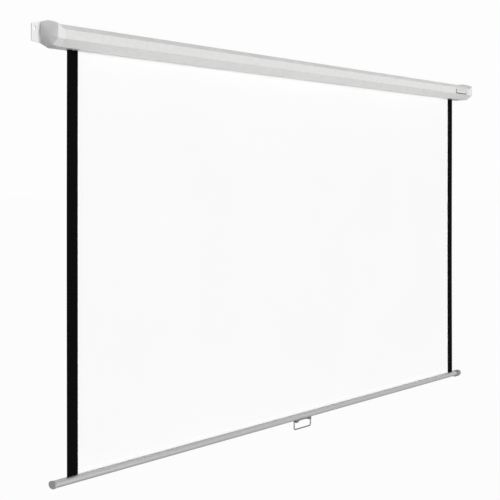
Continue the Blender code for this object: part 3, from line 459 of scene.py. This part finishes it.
@dataclass(frozen=True)
class PaintedSteel(Finish):
    """Powder coat: a faint orange peel, a thin gloss, dust on top and slightly rubbed folds."""

    peel: float = 420.0
    peel_depth: float = 0.02 * MM
    clouds: float = 2.2
    tones: Range = (0.992, 1.006)
    sheen: Range = (-0.03, 0.04)
    wear: float = 0.3
    rubbed: float = 0.86
    dust: float = 0.35
    gloss: float = 0.4
    gloss_roughness: float = 0.22

    def dress(self, graph: Graph, shader: Node, effects: EffectLibrary) -> None:
        """Joins the finish's own nodes to the shader.

        Args:
            graph: The material's graph.
            shader: Its Principled shader.
            effects: The shared effects.
        """
        grain = effects.place(graph, Effect.GRAIN, Fine=self.peel, Coarse=self.clouds)
        wear = effects.place(graph, Effect.WEAR, Amount=self.wear)
        dust = effects.place(graph, Effect.DUST, Amount=self.dust)
        paint = self.toned(graph, grain.outputs["Tone"], self.tones)
        rubbed = graph.blend(wear.outputs["Mask"], paint, scaled(self.colour, self.rubbed))
        dusty = graph.blend(dust.outputs["Mask"], rubbed, DUST_COLOUR)
        graph.feed(shader.inputs["Base Color"], dusty)
        smooth = self.roughened(graph, grain.outputs["Tone"], self.sheen)
        graph.feed(shader.inputs["Roughness"], graph.maths("ADD", smooth, dust.outputs["Mask"]))
        graph.feed(shader.inputs["Normal"], graph.bump(grain.outputs["Height"], self.peel_depth))
        shader.inputs["Coat Weight"].default_value = self.gloss
        shader.inputs["Coat Roughness"].default_value = self.gloss_roughness


@dataclass(frozen=True)
class MouldedPlastic(Finish):
    """A spark-textured moulding, smoother along its handled edges."""

    texture: float = 1500.0
    depth: float = 0.03 * MM
    clouds: float = 12.0
    tones: Range = (0.98, 1.015)
    sheen: Range = (-0.05, 0.05)
    wear: float = 0.4
    polished: float = 1.08
    polish: float = -0.2
    dust: float = 0.25

    def dress(self, graph: Graph, shader: Node, effects: EffectLibrary) -> None:
        """Joins the finish's own nodes to the shader.

        Args:
            graph: The material's graph.
            shader: Its Principled shader.
            effects: The shared effects.
        """
        grain = effects.place(graph, Effect.GRAIN, Fine=self.texture, Coarse=self.clouds)
        wear = effects.place(graph, Effect.WEAR, Amount=self.wear)
        dust = effects.place(graph, Effect.DUST, Amount=self.dust)
        plastic = self.toned(graph, grain.outputs["Tone"], self.tones)
        polished = graph.blend(wear.outputs["Mask"], plastic, scaled(self.colour, self.polished))
        dusty = graph.blend(dust.outputs["Mask"], polished, DUST_COLOUR)
        graph.feed(shader.inputs["Base Color"], dusty)
        textured = self.roughened(graph, grain.outputs["Height"], self.sheen)
        rubbed = graph.maths("MULTIPLY", wear.outputs["Mask"], self.polish)
        graph.feed(shader.inputs["Roughness"], graph.maths("ADD", textured, rubbed))
        graph.feed(shader.inputs["Normal"], graph.bump(grain.outputs["Height"], self.depth))


@dataclass(frozen=True)
class CoatedCloth(Finish):
    """Woven cloth under a matt coating, which takes the print of its threads."""

    threads: float = 1250.0
    depth: float = 0.03 * MM
    fibres: float = 3200.0
    fibre_share: float = 0.4
    clouds: float = 45.0
    tones: Range = (0.992, 1.004)
    sheen: Range = (-0.05, 0.03)
    thread_colour: float = 0.985
    thread_share: float = 0.35

    def dress(self, graph: Graph, shader: Node, effects: EffectLibrary) -> None:
        """Joins the finish's own nodes to the shader.

        Args:
            graph: The material's graph.
            shader: Its Principled shader.
            effects: The shared effects.
        """
        weave = effects.place(graph, Effect.WEAVE, Threads=self.threads)
        grain = effects.place(graph, Effect.GRAIN, Fine=self.fibres, Coarse=self.clouds)
        coat = self.toned(graph, weave.outputs["Tone"], self.tones)
        threads = graph.ramp(weave.outputs["Height"], 0, 1, 0, self.thread_share)
        printed = graph.blend(threads, coat, scaled(self.colour, self.thread_colour))
        graph.feed(shader.inputs["Base Color"], printed)
        matt = self.roughened(graph, grain.outputs["Tone"], self.sheen)
        graph.feed(shader.inputs["Roughness"], matt)
        fine = graph.maths("MULTIPLY", grain.outputs["Height"], self.fibre_share)
        relief = graph.maths("ADD", weave.outputs["Height"], fine)
        graph.feed(shader.inputs["Normal"], graph.bump(relief, self.depth))


@dataclass(frozen=True)
class DrawnMetal(Finish):
    """Metal with lines along it: an anodised extrusion, drawn wire or rolled bar."""

    along: float = 2.0
    across: float = 1600.0
    depth: float = 0.006 * MM
    contrast: float = 0.06
    sheen: Range = (0.05, -0.03)
    clouds: float = 7.0
    clouded_colour: float = 0.25
    clouded_sheen: float = 0.06
    specks: float = 2600.0
    wear: float = 0.35

    def dress(self, graph: Graph, shader: Node, effects: EffectLibrary) -> None:
        """Joins the finish's own nodes to the shader.

        Args:
            graph: The material's graph.
            shader: Its Principled shader.
            effects: The shared effects.
        """
        lines = effects.place(graph, Effect.LINES, Along=self.along, Across=self.across)
        grain = effects.place(graph, Effect.GRAIN, Fine=self.specks, Coarse=self.clouds)
        wear = effects.place(graph, Effect.WEAR, Amount=self.wear)
        dark = scaled(self.colour, 1 - self.contrast)
        light = scaled(self.colour, 1 + self.contrast)
        drawn = graph.blend(lines.outputs["Tone"], dark, light)
        clouds = graph.ramp(grain.outputs["Tone"], 0, 1, 0, self.clouded_colour)
        handled = graph.blend(clouds, drawn, dark)
        graph.feed(shader.inputs["Base Color"], graph.blend(wear.outputs["Mask"], handled, light))
        shader.inputs["Metallic"].default_value = 1.0
        satin = self.roughened(graph, lines.outputs["Tone"], self.sheen)
        cloudy = graph.ramp(grain.outputs["Tone"], 0, 1, 0, self.clouded_sheen)
        graph.feed(shader.inputs["Roughness"], graph.maths("ADD", satin, cloudy))
        graph.feed(shader.inputs["Normal"], graph.bump(lines.outputs["Height"], self.depth))


@dataclass(frozen=True)
class ZincPlate(Finish):
    """Plated sheet or turned steel, with the patches of its zinc coat."""

    cells: float = 300.0
    tones: Range = (0.88, 1.08)
    sheen: Range = (-0.06, 0.08)
    specks: float = 1800.0
    clouds: float = 25.0
    depth: float = 0.01 * MM
    wear: float = 0.5
    rubbed: float = 1.2

    def dress(self, graph: Graph, shader: Node, effects: EffectLibrary) -> None:
        """Joins the finish's own nodes to the shader.

        Args:
            graph: The material's graph.
            shader: Its Principled shader.
            effects: The shared effects.
        """
        spangle = effects.place(graph, Effect.SPANGLE, Cells=self.cells)
        grain = effects.place(graph, Effect.GRAIN, Fine=self.specks, Coarse=self.clouds)
        wear = effects.place(graph, Effect.WEAR, Amount=self.wear)
        patch = self.toned(graph, spangle.outputs["Tone"], self.tones)
        edged = graph.blend(wear.outputs["Mask"], patch, scaled(self.colour, self.rubbed))
        graph.feed(shader.inputs["Base Color"], edged)
        shader.inputs["Metallic"].default_value = 1.0
        bright = self.roughened(graph, spangle.outputs["Tone"], self.sheen)
        graph.feed(shader.inputs["Roughness"], bright)
        graph.feed(shader.inputs["Normal"], graph.bump(grain.outputs["Height"], self.depth))


FINISHES: dict[str, Finish] = {
    finish.name: finish
    for finish in (
        PaintedSteel("case_paint", grey(0.75, 0.012), 0.42, 0.4),
        MouldedPlastic("cap_plastic", grey(0.805), 0.5, 0.35),
        CoatedCloth("screen_white", grey(0.955), 0.9, 0.1),
        CoatedCloth("screen_back", grey(0.86), 0.85, 0.15, depth=0.05 * MM),
        CoatedCloth("border_black", grey(0.0030), 0.92, 0.03),
        DrawnMetal("bar_aluminium", grey(0.485), 0.50, contrast=0.03),
        MouldedPlastic("bar_cap_plastic", grey(0.47), 0.55, 0.12, texture=1800.0, dust=0.1),
        # The bar caps' plastic made darker: painted shade on the sleeve at the bar's right end.
        MouldedPlastic("sleeve_plastic_painted_shade", grey(0.27), 0.55, 0.12, texture=1800.0, dust=0.1),
        MouldedPlastic("handle_plastic", grey(0.16), 0.5, 0.2, texture=1800.0, dust=0.1),
        DrawnMetal("bail_wire", grey(0.21), 0.36, along=12.0, across=900.0, contrast=0.1),
        ZincPlate("bracket_steel", grey(0.55, 0.02), 0.36),
        ZincPlate("screw_zinc", grey(0.6, 0.03), 0.3, cells=900.0),
        DrawnMetal("lock_steel", grey(0.42, 0.04), 0.33, along=60.0, across=900.0),
        DrawnMetal("spring_steel", grey(0.3, 0.03), 0.3, along=80.0, across=700.0, contrast=0.12),
        MouldedPlastic("acetal", grey(0.72, 0.06), 0.38, texture=700.0, depth=0.015 * MM, dust=0.0),
        MouldedPlastic("plate_face", grey(0.69), 0.4, texture=900.0, depth=0.01 * MM, dust=0.0),
        MouldedPlastic("plate_frame", grey(0.035), 0.42, texture=900.0, depth=0.01 * MM, dust=0.0),
    )
}


class Workshop:
    """Dresses CAD nodes and takes in new pieces."""

    WELD_REACH = 0.002 * MM

    def __init__(self) -> None:
        """Builds every finish once."""
        effects = EffectLibrary()
        self.materials = {name: finish.build(effects) for name, finish in FINISHES.items()}

    def dress(self, node: str, finish: str, fold: float = 30.0) -> None:
        """Gives a CAD node its finish and an even shade on its flat faces.

        Args:
            node: The node's name.
            finish: The finish's name.
            fold: The angle in degrees from which an edge stays sharp.
        """
        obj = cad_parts[node]
        obj.data.materials.clear()
        obj.data.materials.append(self.materials[finish])
        obj.data.shade_smooth()
        weld = obj.modifiers.new("weld", "WELD")
        weld.merge_threshold = self.WELD_REACH
        split = obj.modifiers.new("sharp_edges", "EDGE_SPLIT")
        split.split_angle = math.radians(fold)
        obj.modifiers.new("shade_by_face_area", "WEIGHTED_NORMAL")
        LOG.info("dressed %s in %s", node, finish)

    def piece(
        self, name: str, bm: BMesh, finishes: list[str], body: str
    ) -> bpy.types.Object:
        """Makes a new piece that rides on a body.

        Args:
            name: The piece's name.
            bm: Its mesh, which is freed here.
            finishes: The finishes of its material slots.
            body: The body that carries it.

        Returns:
            The piece.
        """
        mesh = bpy.data.meshes.new(name)
        bm.to_mesh(mesh)
        bm.free()
        obj = bpy.data.objects.new(name, mesh)
        bpy.context.scene.collection.objects.link(obj)
        for finish in finishes:
            mesh.materials.append(self.materials[finish])
        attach(obj, body)
        LOG.info("built %s on %s", name, body)
        return obj


def join(bm: BMesh, near: Row, far: Row, slot: int = 0) -> list[bmesh.types.BMFace]:
    """Joins two rows of points with a strip of faces.

    Args:
        bm: The mesh.
        near: One row.
        far: The other row, as long as the first.
        slot: The material slot of the faces.

    Returns:
        The faces, in the order of the rows.
    """
    faces = [bm.faces.new(corners) for corners in zip(near, near[1:], far[1:], far)]
    for face in faces:
        face.material_index = slot
    return faces


class Side(Enum):
    """The two faces of the cloth."""

    FRONT = -1
    BACK = 1


class ClothSlot(IntEnum):
    """The material slots of the cloth."""

    WHITE = 0
    BORDER = 1
    BACK = 2


@dataclass
class ScreenCloth:
    """The hanging sheet: a white field with black borders at its left and right edges.

    Its unevenness adds up from a short ripple, a slow swell and a curl of the side edges, each a
    share of the ripple's depth. The swell's length is in ripples, and its drift, in radians, is how
    far it shifts down the sheet.
    """

    width: float = 2.290
    border: float = BORDER_WIDTH
    thickness: float = 0.42 * MM
    ripple: float = 0.7 * MM
    ripple_length: float = 0.62
    ripple_start: float = 1.3
    ripple_share: float = 0.45
    swell_length: float = 2.7
    swell_drift: float = 4.0
    swell_share: float = 0.55
    curl_power: float = 8.0
    curl_share: float = 1.6
    held_power: float = 1.5
    rows: int = 96
    columns_in_field: int = 120
    columns_in_border: int = 4

    def columns(self) -> list[float]:
        """Places the columns of points, with one exactly on each border's inner line.

        Returns:
            The X of each column.
        """
        half = self.width / 2
        field = half - self.border
        steps = [index / self.columns_in_border for index in range(self.columns_in_border)]
        left = [-half + self.border * step for step in steps]
        middle = [
            -field + 2 * field * index / self.columns_in_field
            for index in range(self.columns_in_field + 1)
        ]
        return left + middle + [-x for x in reversed(left)]

    def depth_at(self, x: float, share: float) -> float:
        """How far the cloth stands from its flat plane.

        Args:
            x: The place along the screen.
            share: The place down the sheet, 0 at the roller and 1 at the bar.

        Returns:
            The distance along Y.
        """
        held = math.sin(math.pi * share) ** self.held_power
        short = math.sin(2 * math.pi * x / self.ripple_length + self.ripple_start)
        turn = 2 * math.pi * x / (self.swell_length * self.ripple_length)
        slow = math.sin(turn + self.swell_drift * share)
        edge = (abs(x) / (self.width / 2)) ** self.curl_power
        uneven = self.ripple_share * short + self.swell_share * slow + self.curl_share * edge
        return held * self.ripple * uneven

    def build(self, shop: Workshop) -> None:
        """Args:
            shop: Where the pieces are made.
        """
        low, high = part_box("screen_fabric")
        plane = (low.y + high.y) / 2
        length = high.z - low.z
        bm = bmesh.new()
        columns = self.columns()
        layers = {side: self.layer(bm, side, plane, high.z, length, columns) for side in Side}
        self.close(bm, layers)
        bmesh.ops.recalc_face_normals(bm, faces=bm.faces)
        obj = shop.piece(
            "screen_cloth",
            bm,
            ["screen_white", "border_black", "screen_back"],
            "case",
        )
        obj.data.shade_smooth()
        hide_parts("screen_fabric", "border_left", "border_right")
        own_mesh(obj)

    def layer(
        self,
        bm: BMesh,
        side: Side,
        plane: float,
        top: float,
        length: float,
        columns: list[float],
    ) -> list[Row]:
        """Lays one face of the cloth as a grid.

        Args:
            bm: The mesh it goes into.
            side: Which face.
            plane: The Y of the flat sheet.
            top: The Z of its upper edge.
            length: Its length down.
            columns: The X of each column.

        Returns:
            The grid's points, row by row.
        """
        grid = []
        for row in range(self.rows + 1):
            share = row / self.rows
            z = top - length * share
            offset = side.value * self.thickness / 2
            grid.append(
                [bm.verts.new((x, plane + offset + self.depth_at(x, share), z)) for x in columns]
            )
        for upper, lower in zip(grid, grid[1:]):
            for face, left, right in zip(join(bm, upper, lower), columns, columns[1:]):
                face.material_index = self.slot_of(side, left, right)
        return grid

    def slot_of(self, side: Side, left: float, right: float) -> ClothSlot:
        """The material slot of a face of the cloth.

        Args:
            side: The face of the cloth it is on.
            left: The X of its left edge.
            right: The X of its right edge.

        Returns:
            The slot.
        """
        if side is Side.BACK:
            return ClothSlot.BACK
        on_border = abs(left + right) / 2 > self.width / 2 - self.border
        return ClothSlot.BORDER if on_border else ClothSlot.WHITE

    @staticmethod
    def close(bm: BMesh, layers: dict[Side, list[Row]]) -> None:
        """Joins the two faces along the four edges of the cloth.

        Args:
            bm: The mesh.
            layers: The grid of each face.
        """
        front, back = layers[Side.FRONT], layers[Side.BACK]
        for end in (0, -1):
            join(bm, front[end], back[end], ClothSlot.WHITE)
        for end in (0, -1):
            near, far = [row[end] for row in front], [row[end] for row in back]
            join(bm, near, far, ClothSlot.BORDER)


@dataclass
class ClothRoll:
    """The turns of cloth that stay on the roller when the screen is down."""

    turns: float = 3.0
    pitch: float = 0.44 * MM
    thickness: float = 0.38 * MM
    gap: float = 0.32 * MM
    border: float = BORDER_WIDTH
    steps_per_turn: int = 72
    sharp: float = 40.0

    def build(self, shop: Workshop) -> None:
        """Args:
            shop: Where the pieces are made.
        """
        low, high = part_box("fabric_wrap")
        half = (high.x - low.x) / 2
        bm = bmesh.new()
        inner, outer, length = self.wind(bm, half)
        self.cover(bm, inner, outer)
        bmesh.ops.recalc_face_normals(bm, faces=bm.faces)
        finishes = ["screen_white", "border_black"]
        obj = shop.piece("cloth_roll", bm, finishes, "roller")
        obj.data.shade_smooth()
        obj.data.set_sharp_from_angle(angle=math.radians(self.sharp))
        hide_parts("fabric_wrap")

    def wind(self, bm: BMesh, half: float) -> tuple[list[Row], list[Row], float]:
        """Lays the cloth as a spiral round the tube.

        Args:
            bm: The mesh it goes into.
            half: Half the cloth's width.

        Returns:
            The points of its inner face and of its outer face, and its length.
        """
        low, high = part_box("roller_tube")
        middle = (low.y + high.y) / 2
        start = (high.z - low.z) / 2 + self.gap
        stations = [-half, -half + self.border, half - self.border, half]
        steps = int(self.turns * self.steps_per_turn)
        inner, outer, length = [], [], 0.0
        for step in range(steps + 1):
            share = step / steps
            angle = 2 * math.pi * self.turns * (1 - share)
            radius = start + self.pitch * self.turns * share
            length += radius * 2 * math.pi * self.turns / steps
            for reach, rows in ((radius, inner), (radius + self.thickness, outer)):
                y = middle + reach * math.cos(angle)
                z = reach * math.sin(angle)
                rows.append([bm.verts.new((x, y, z)) for x in stations])
        return inner, outer, length

    @staticmethod
    def cover(bm: BMesh, inner: list[Row], outer: list[Row]) -> None:
        """Closes the skin of the cloth.

        Args:
            bm: The mesh.
            inner: The points of its inner face.
            outer: The points of its outer face.
        """
        slots = (ClothSlot.BORDER, ClothSlot.WHITE, ClothSlot.BORDER)
        pairs = [pair for rows in (inner, outer) for pair in zip(rows, rows[1:])]
        for near, far in pairs + [(inner[0], outer[0]), (inner[-1], outer[-1])]:
            for face, slot in zip(join(bm, near, far), slots):
                face.material_index = slot
        for end in (0, -1):
            near, far = [row[end] for row in inner], [row[end] for row in outer]
            join(bm, near, far, ClothSlot.BORDER)


class PlateSlot(IntEnum):
    """The material slots of the plate."""

    FACE = 0
    FRAME = 1


@dataclass
class BlankPlate:
    """The blank plate at the right end of the case's front, a light face in a dark frame.

    The frame is broad at the left and below, and narrow at the right and above. The bevel along
    each of its edges is a share of its width.
    """

    width: float = 95 * MM
    height: float = 20 * MM
    centre_x: float = 1.1215
    centre_z: float = -0.7 * MM
    broad_rail: float = 4.0 * MM
    right_rail: float = 1.6 * MM
    top_rail: float = 0.6 * MM
    corner: float = 2.2 * MM
    inner_corner: float = 0.6 * MM
    proud: float = 0.9 * MM
    softened: float = 0.3 * MM
    sunk: float = 0.4 * MM
    bevel: float = 0.08
    steps: int = 6
    sharp: float = 35.0

    def outline(self, share: float, corner: float) -> list[tuple[float, float]]:
        """A rounded outline on the plate, in X and Z.

        Args:
            share: Its place on the frame, 0 at the plate's edge and 1 at its face.
            corner: Its corner radius.

        Returns:
            The points, counterclockwise seen from the room.
        """
        right = self.centre_x + self.width / 2 - self.right_rail * share
        left = self.centre_x - self.width / 2 + self.broad_rail * share
        high = self.centre_z + self.height / 2 - self.top_rail * share
        low = self.centre_z - self.height / 2 + self.broad_rail * share
        middles = (
            (right - corner, high - corner),
            (left + corner, high - corner),
            (left + corner, low + corner),
            (right - corner, low + corner),
        )
        points = []
        for quarter, (x, z) in enumerate(middles):
            for step in range(self.steps + 1):
                angle = math.pi / 2 * (quarter + step / self.steps)
                points.append((x + corner * math.cos(angle), z + corner * math.sin(angle)))
        return points

    def build(self, shop: Workshop) -> None:
        """Builds the plate on the case's front.

        Args:
            shop: Where the pieces are made.
        """
        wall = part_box("case_housing")[0].y
        rings = [
            (0.0, self.corner, 0.0),
            (0.0, self.corner, self.proud - self.softened),
            (self.bevel, self.corner, self.proud),
            (1 - self.bevel, self.inner_corner, self.proud),
            (1.0, self.inner_corner, self.proud - self.sunk),
        ]
        bm = bmesh.new()
        loops = [
            [bm.verts.new((x, wall - out, z)) for x, z in self.outline(share, corner)]
            for share, corner, out in rings
        ]
        for near, far in zip(loops, loops[1:]):
            join(bm, near + near[:1], far + far[:1], PlateSlot.FRAME)
        bm.faces.new(loops[-1]).material_index = PlateSlot.FACE
        bm.faces.new(list(reversed(loops[0]))).material_index = PlateSlot.FRAME
        bmesh.ops.recalc_face_normals(bm, faces=bm.faces)
        obj = shop.piece("blank_plate", bm, ["plate_face", "plate_frame"], "case")
        obj.data.shade_smooth()
        obj.data.set_sharp_from_angle(angle=math.radians(self.sharp))


@dataclass
class CaseAssembly:
    """The steel case, its end caps, brackets and screws."""

    fold: float = 20.0
    cap_edge: float = 32.0
    screws: int = 4

    def build(self, shop: Workshop) -> None:
        """Dresses the case's nodes and adds its blank plate.

        Args:
            shop: Where the pieces are made.
        """
        shop.dress("case_housing", "case_paint", self.fold)
        for node in ("end_cap_left", "end_cap_right"):
            shop.dress(node, "cap_plastic", self.cap_edge)
        for node in ("idle_bracket", "spring_bracket"):
            shop.dress(node, "bracket_steel")
        for number in range(1, self.screws + 1):
            shop.dress(f"case_screw_{number}", "screw_zinc")
        BlankPlate().build(shop)


@dataclass
class RollerAssembly:
    """The tube with its idle end, its spring and its lock."""

    edge: float = 30.0

    def build(self, shop: Workshop) -> None:
        """Dresses the roller's nodes and winds its cloth.

        Args:
            shop: Where the pieces are made.
        """
        finishes = {
            "bracket_steel": ("roller_tube", "idle_pin", "spring_arbor"),
            "acetal": ("idle_plug", "idle_bush", "pawl_carrier", "fixed_anchor", "turning_anchor"),
            "lock_steel": ("ratchet_disc", "pawl_upper", "pawl_lower"),
            "screw_zinc": ("pawl_pin_upper", "pawl_pin_lower"),
            "spring_steel": ("torsion_spring",),
        }
        for finish, nodes in finishes.items():
            for node in nodes:
                shop.dress(node, finish, self.edge)
        ClothRoll().build(shop)


@dataclass
class EndSleeve:
    """The sleeve round the bar's right end, which hangs a little below the bar. Its dark colour is
    painted shade: the bar caps' plastic made darker.
    """

    length: float = 28 * MM
    clearance: float = 0.3 * MM
    wall: float = 1.0 * MM
    foot: float = 3.4 * MM
    rim: float = 0.4 * MM
    squareness: float = 2.2
    points: int = 64
    sharp: float = 50.0

    def section(
        self, low: Vector, high: Vector, room: float, foot: float
    ) -> list[tuple[float, float]]:
        """A squarish oval in Y and Z, the bar's own outline made larger.

        Args:
            low: The bar's lower corner.
            high: The bar's upper corner.
            room: How far outside the bar it runs.
            foot: How much lower its underside hangs.

        Returns:
            The points, once round.
        """
        power = 2 / self.squareness
        middle = (low + high) / 2
        outline = []
        for step in range(self.points):
            angle = 2 * math.pi * step / self.points
            across = math.copysign(abs(math.cos(angle)) ** power, math.cos(angle))
            up = math.copysign(abs(math.sin(angle)) ** power, math.sin(angle))
            reach = (high.z - low.z) / 2 + room + (foot if up < 0 else 0.0)
            y = middle.y + ((high.y - low.y) / 2 + room) * across
            outline.append((y, middle.z + reach * up))
        return outline

    def build(self, shop: Workshop) -> None:
        """Builds the sleeve on the bar.

        Args:
            shop: Where the pieces are made.
        """
        low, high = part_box("bottom_bar")
        end = high.x - self.clearance
        start = end - self.length
        outside = self.clearance + self.wall
        softened = outside - self.rim
        rings = [
            (start, self.clearance, 0.0),
            (start, softened, self.foot - self.rim),
            (start + self.rim, outside, self.foot),
            (end - self.rim, outside, self.foot),
            (end, softened, self.foot - self.rim),
            (end, self.clearance, 0.0),
        ]
        bm = bmesh.new()
        loops = [
            [bm.verts.new((x, y, z)) for y, z in self.section(low, high, room, foot)]
            for x, room, foot in rings
        ]
        for near, far in zip(loops, loops[1:] + loops[:1]):
            join(bm, near + near[:1], far + far[:1])
        bmesh.ops.recalc_face_normals(bm, faces=bm.faces)
        # The sleeve's finish is painted shade, a darker copy of the bar caps' plastic.
        obj = shop.piece("bar_end_sleeve", bm, ["sleeve_plastic_painted_shade"], "bar")
        obj.data.shade_smooth()
        obj.data.set_sharp_from_angle(angle=math.radians(self.sharp))


@dataclass
class BarAssembly:
    """The weight bar with its caps, the hem rod and the pull handle."""

    edge: float = 34.0

    def build(self, shop: Workshop) -> None:
        """Dresses the bar's nodes and adds its sleeve.

        Args:
            shop: Where the pieces are made.
        """
        finishes = {
            "bottom_bar": "bar_aluminium",
            "hem_rod": "bracket_steel",
            "bar_cap_left": "bar_cap_plastic",
            "bar_cap_right": "bar_cap_plastic",
            "handle_base": "handle_plastic",
            "base_screw_1": "screw_zinc",
            "base_screw_2": "screw_zinc",
            "handle_bail": "bail_wire",
        }
        for node, finish in finishes.items():
            shop.dress(node, finish, self.edge)
        EndSleeve().build(shop)


@dataclass(frozen=True)
class Sun:
    """A broad, even light.

    The source is the direction it comes from, the level is what it adds to a white face that looks
    straight at it, and the spread is its angle across, in degrees.
    """

    name: str
    source: Place
    level: float
    spread: float

    def build(self) -> None:
        """Makes the lamp and aims it."""
        lamp = bpy.data.lights.new(self.name, "SUN")
        lamp.energy = self.level * math.pi
        lamp.angle = math.radians(self.spread)
        obj = bpy.data.objects.new(self.name, lamp)
        obj.rotation_euler = Vector(self.source).to_track_quat("Z", "Y").to_euler()
        bpy.context.scene.collection.objects.link(obj)


@dataclass
class Studio:
    """A white studio: a level world, three broad lights and a pale floor far below the screen."""

    suns: tuple[Sun, ...] = (
        Sun("front_light", (-0.12, -0.96, -0.09), 0.74, 30.0),
        Sun("rear_light", (-0.42, 0.70, 0.52), 0.30, 50.0),
        Sun("back_light", (0.25, 0.96, 0.10), 0.35, 40.0),
    )
    seen_white: float = 0.983
    level: float = 0.31
    floor_z: float = -2.35
    floor_half: float = 150.0
    floor_cells: int = 8
    floor_tone: float = 0.4
    floor_roughness: float = 0.9
    floor_glow: float = 0.965
    floor_mirrored: float = 0.5

    def build(self) -> None:
        """Builds the world, the lamps and the floor."""
        self.build_world()
        for sun in self.suns:
            sun.build()
        self.build_floor()
        bpy.context.scene.view_settings.view_transform = "Standard"

    @staticmethod
    def seen_directly(graph: Graph, mirrored: float = 1.0) -> Socket:
        """Adds a switch that is 1 for a ray from the camera.

        Args:
            graph: The world's or material's graph.
            mirrored: What it gives for a mirrored or refracted ray.

        Returns:
            The switch.
        """
        path = graph.add("ShaderNodeLightPath")
        mirror, glass = path.outputs["Is Glossy Ray"], path.outputs["Is Transmission Ray"]
        bent = graph.maths("MULTIPLY", graph.maths("MAXIMUM", mirror, glass), mirrored)
        return graph.maths("MAXIMUM", path.outputs["Is Camera Ray"], bent)

    def build_world(self) -> None:
        """A level grey that lights the object, seen as white."""
        world = bpy.data.worlds.new("studio")
        world.use_nodes = True
        graph = Graph(world.node_tree)
        output = graph.add("ShaderNodeOutputWorld")
        light = graph.add("ShaderNodeBackground")
        light.inputs["Color"].default_value = (*grey(1.0), 1.0)
        light.inputs["Strength"].default_value = self.level
        seen = graph.add("ShaderNodeBackground")
        seen.inputs["Color"].default_value = (*grey(self.seen_white), 1.0)
        choice = graph.add("ShaderNodeMixShader")
        graph.feed(choice.inputs[0], self.seen_directly(graph))
        graph.feed(choice.inputs[1], light.outputs[0])
        graph.feed(choice.inputs[2], seen.outputs[0])
        graph.feed(output.inputs["Surface"], choice.outputs[0])
        bpy.context.scene.world = world

    def build_floor(self) -> None:
        """A pale floor that keeps a faint shadow and runs out to the horizon."""
        bm = bmesh.new()
        cells = self.floor_cells
        bmesh.ops.create_grid(bm, x_segments=cells, y_segments=cells, size=self.floor_half)
        bmesh.ops.translate(bm, verts=bm.verts, vec=(0.0, 0.0, self.floor_z))
        mesh = bpy.data.meshes.new("floor")
        bm.to_mesh(mesh)
        bm.free()
        floor = bpy.data.objects.new("floor", mesh)
        bpy.context.scene.collection.objects.link(floor)
        material = bpy.data.materials.new("floor")
        material.use_nodes = True
        graph = Graph(material.node_tree)
        output = graph.add("ShaderNodeOutputMaterial")
        matt = graph.add("ShaderNodeBsdfPrincipled")
        matt.inputs["Base Color"].default_value = (*grey(self.floor_tone), 1.0)
        matt.inputs["Roughness"].default_value = self.floor_roughness
        glow = graph.add("ShaderNodeEmission")
        glow.inputs["Color"].default_value = (*grey(1.0), 1.0)
        choice = graph.add("ShaderNodeMixShader")
        seen = self.seen_directly(graph, self.floor_mirrored)
        share = graph.maths("MULTIPLY", seen, self.floor_glow)
        graph.feed(choice.inputs[0], share)
        graph.feed(choice.inputs[1], matt.outputs[0])
        graph.feed(choice.inputs[2], glow.outputs[0])
        graph.feed(output.inputs["Surface"], choice.outputs[0])
        mesh.materials.append(material)
        floor.visible_shadow = False


@dataclass
class PhotoView:
    """The camera of the photograph: level, to the left of the screen and close to it."""

    place: Place = (-3.14, -2.399, -0.436)
    heading: float = -50.0
    lens: float = 74.9
    shift_y: float = -0.126
    nearest: float = 0.05
    farthest: float = 600.0

    def build(self) -> None:
        """Makes the camera and sets it as the scene's."""
        data = bpy.data.cameras.new("photo_view")
        data.lens = self.lens
        data.shift_y = self.shift_y
        data.clip_start = self.nearest
        data.clip_end = self.farthest
        camera = bpy.data.objects.new("photo_view", data)
        camera.location = self.place
        camera.rotation_euler = (math.radians(90), 0.0, math.radians(self.heading))
        bpy.context.scene.collection.objects.link(camera)
        bpy.context.scene.camera = camera


def main() -> None:
    """Builds the view, the studio and every sub-assembly."""
    logging.basicConfig(level=logging.INFO, format="%(name)s: %(message)s")
    PhotoView().build()
    Studio().build()
    shop = Workshop()
    for assembly in (CaseAssembly(), RollerAssembly(), ScreenCloth(), BarAssembly()):
        assembly.build(shop)


if __name__ == "__main__":
    main()
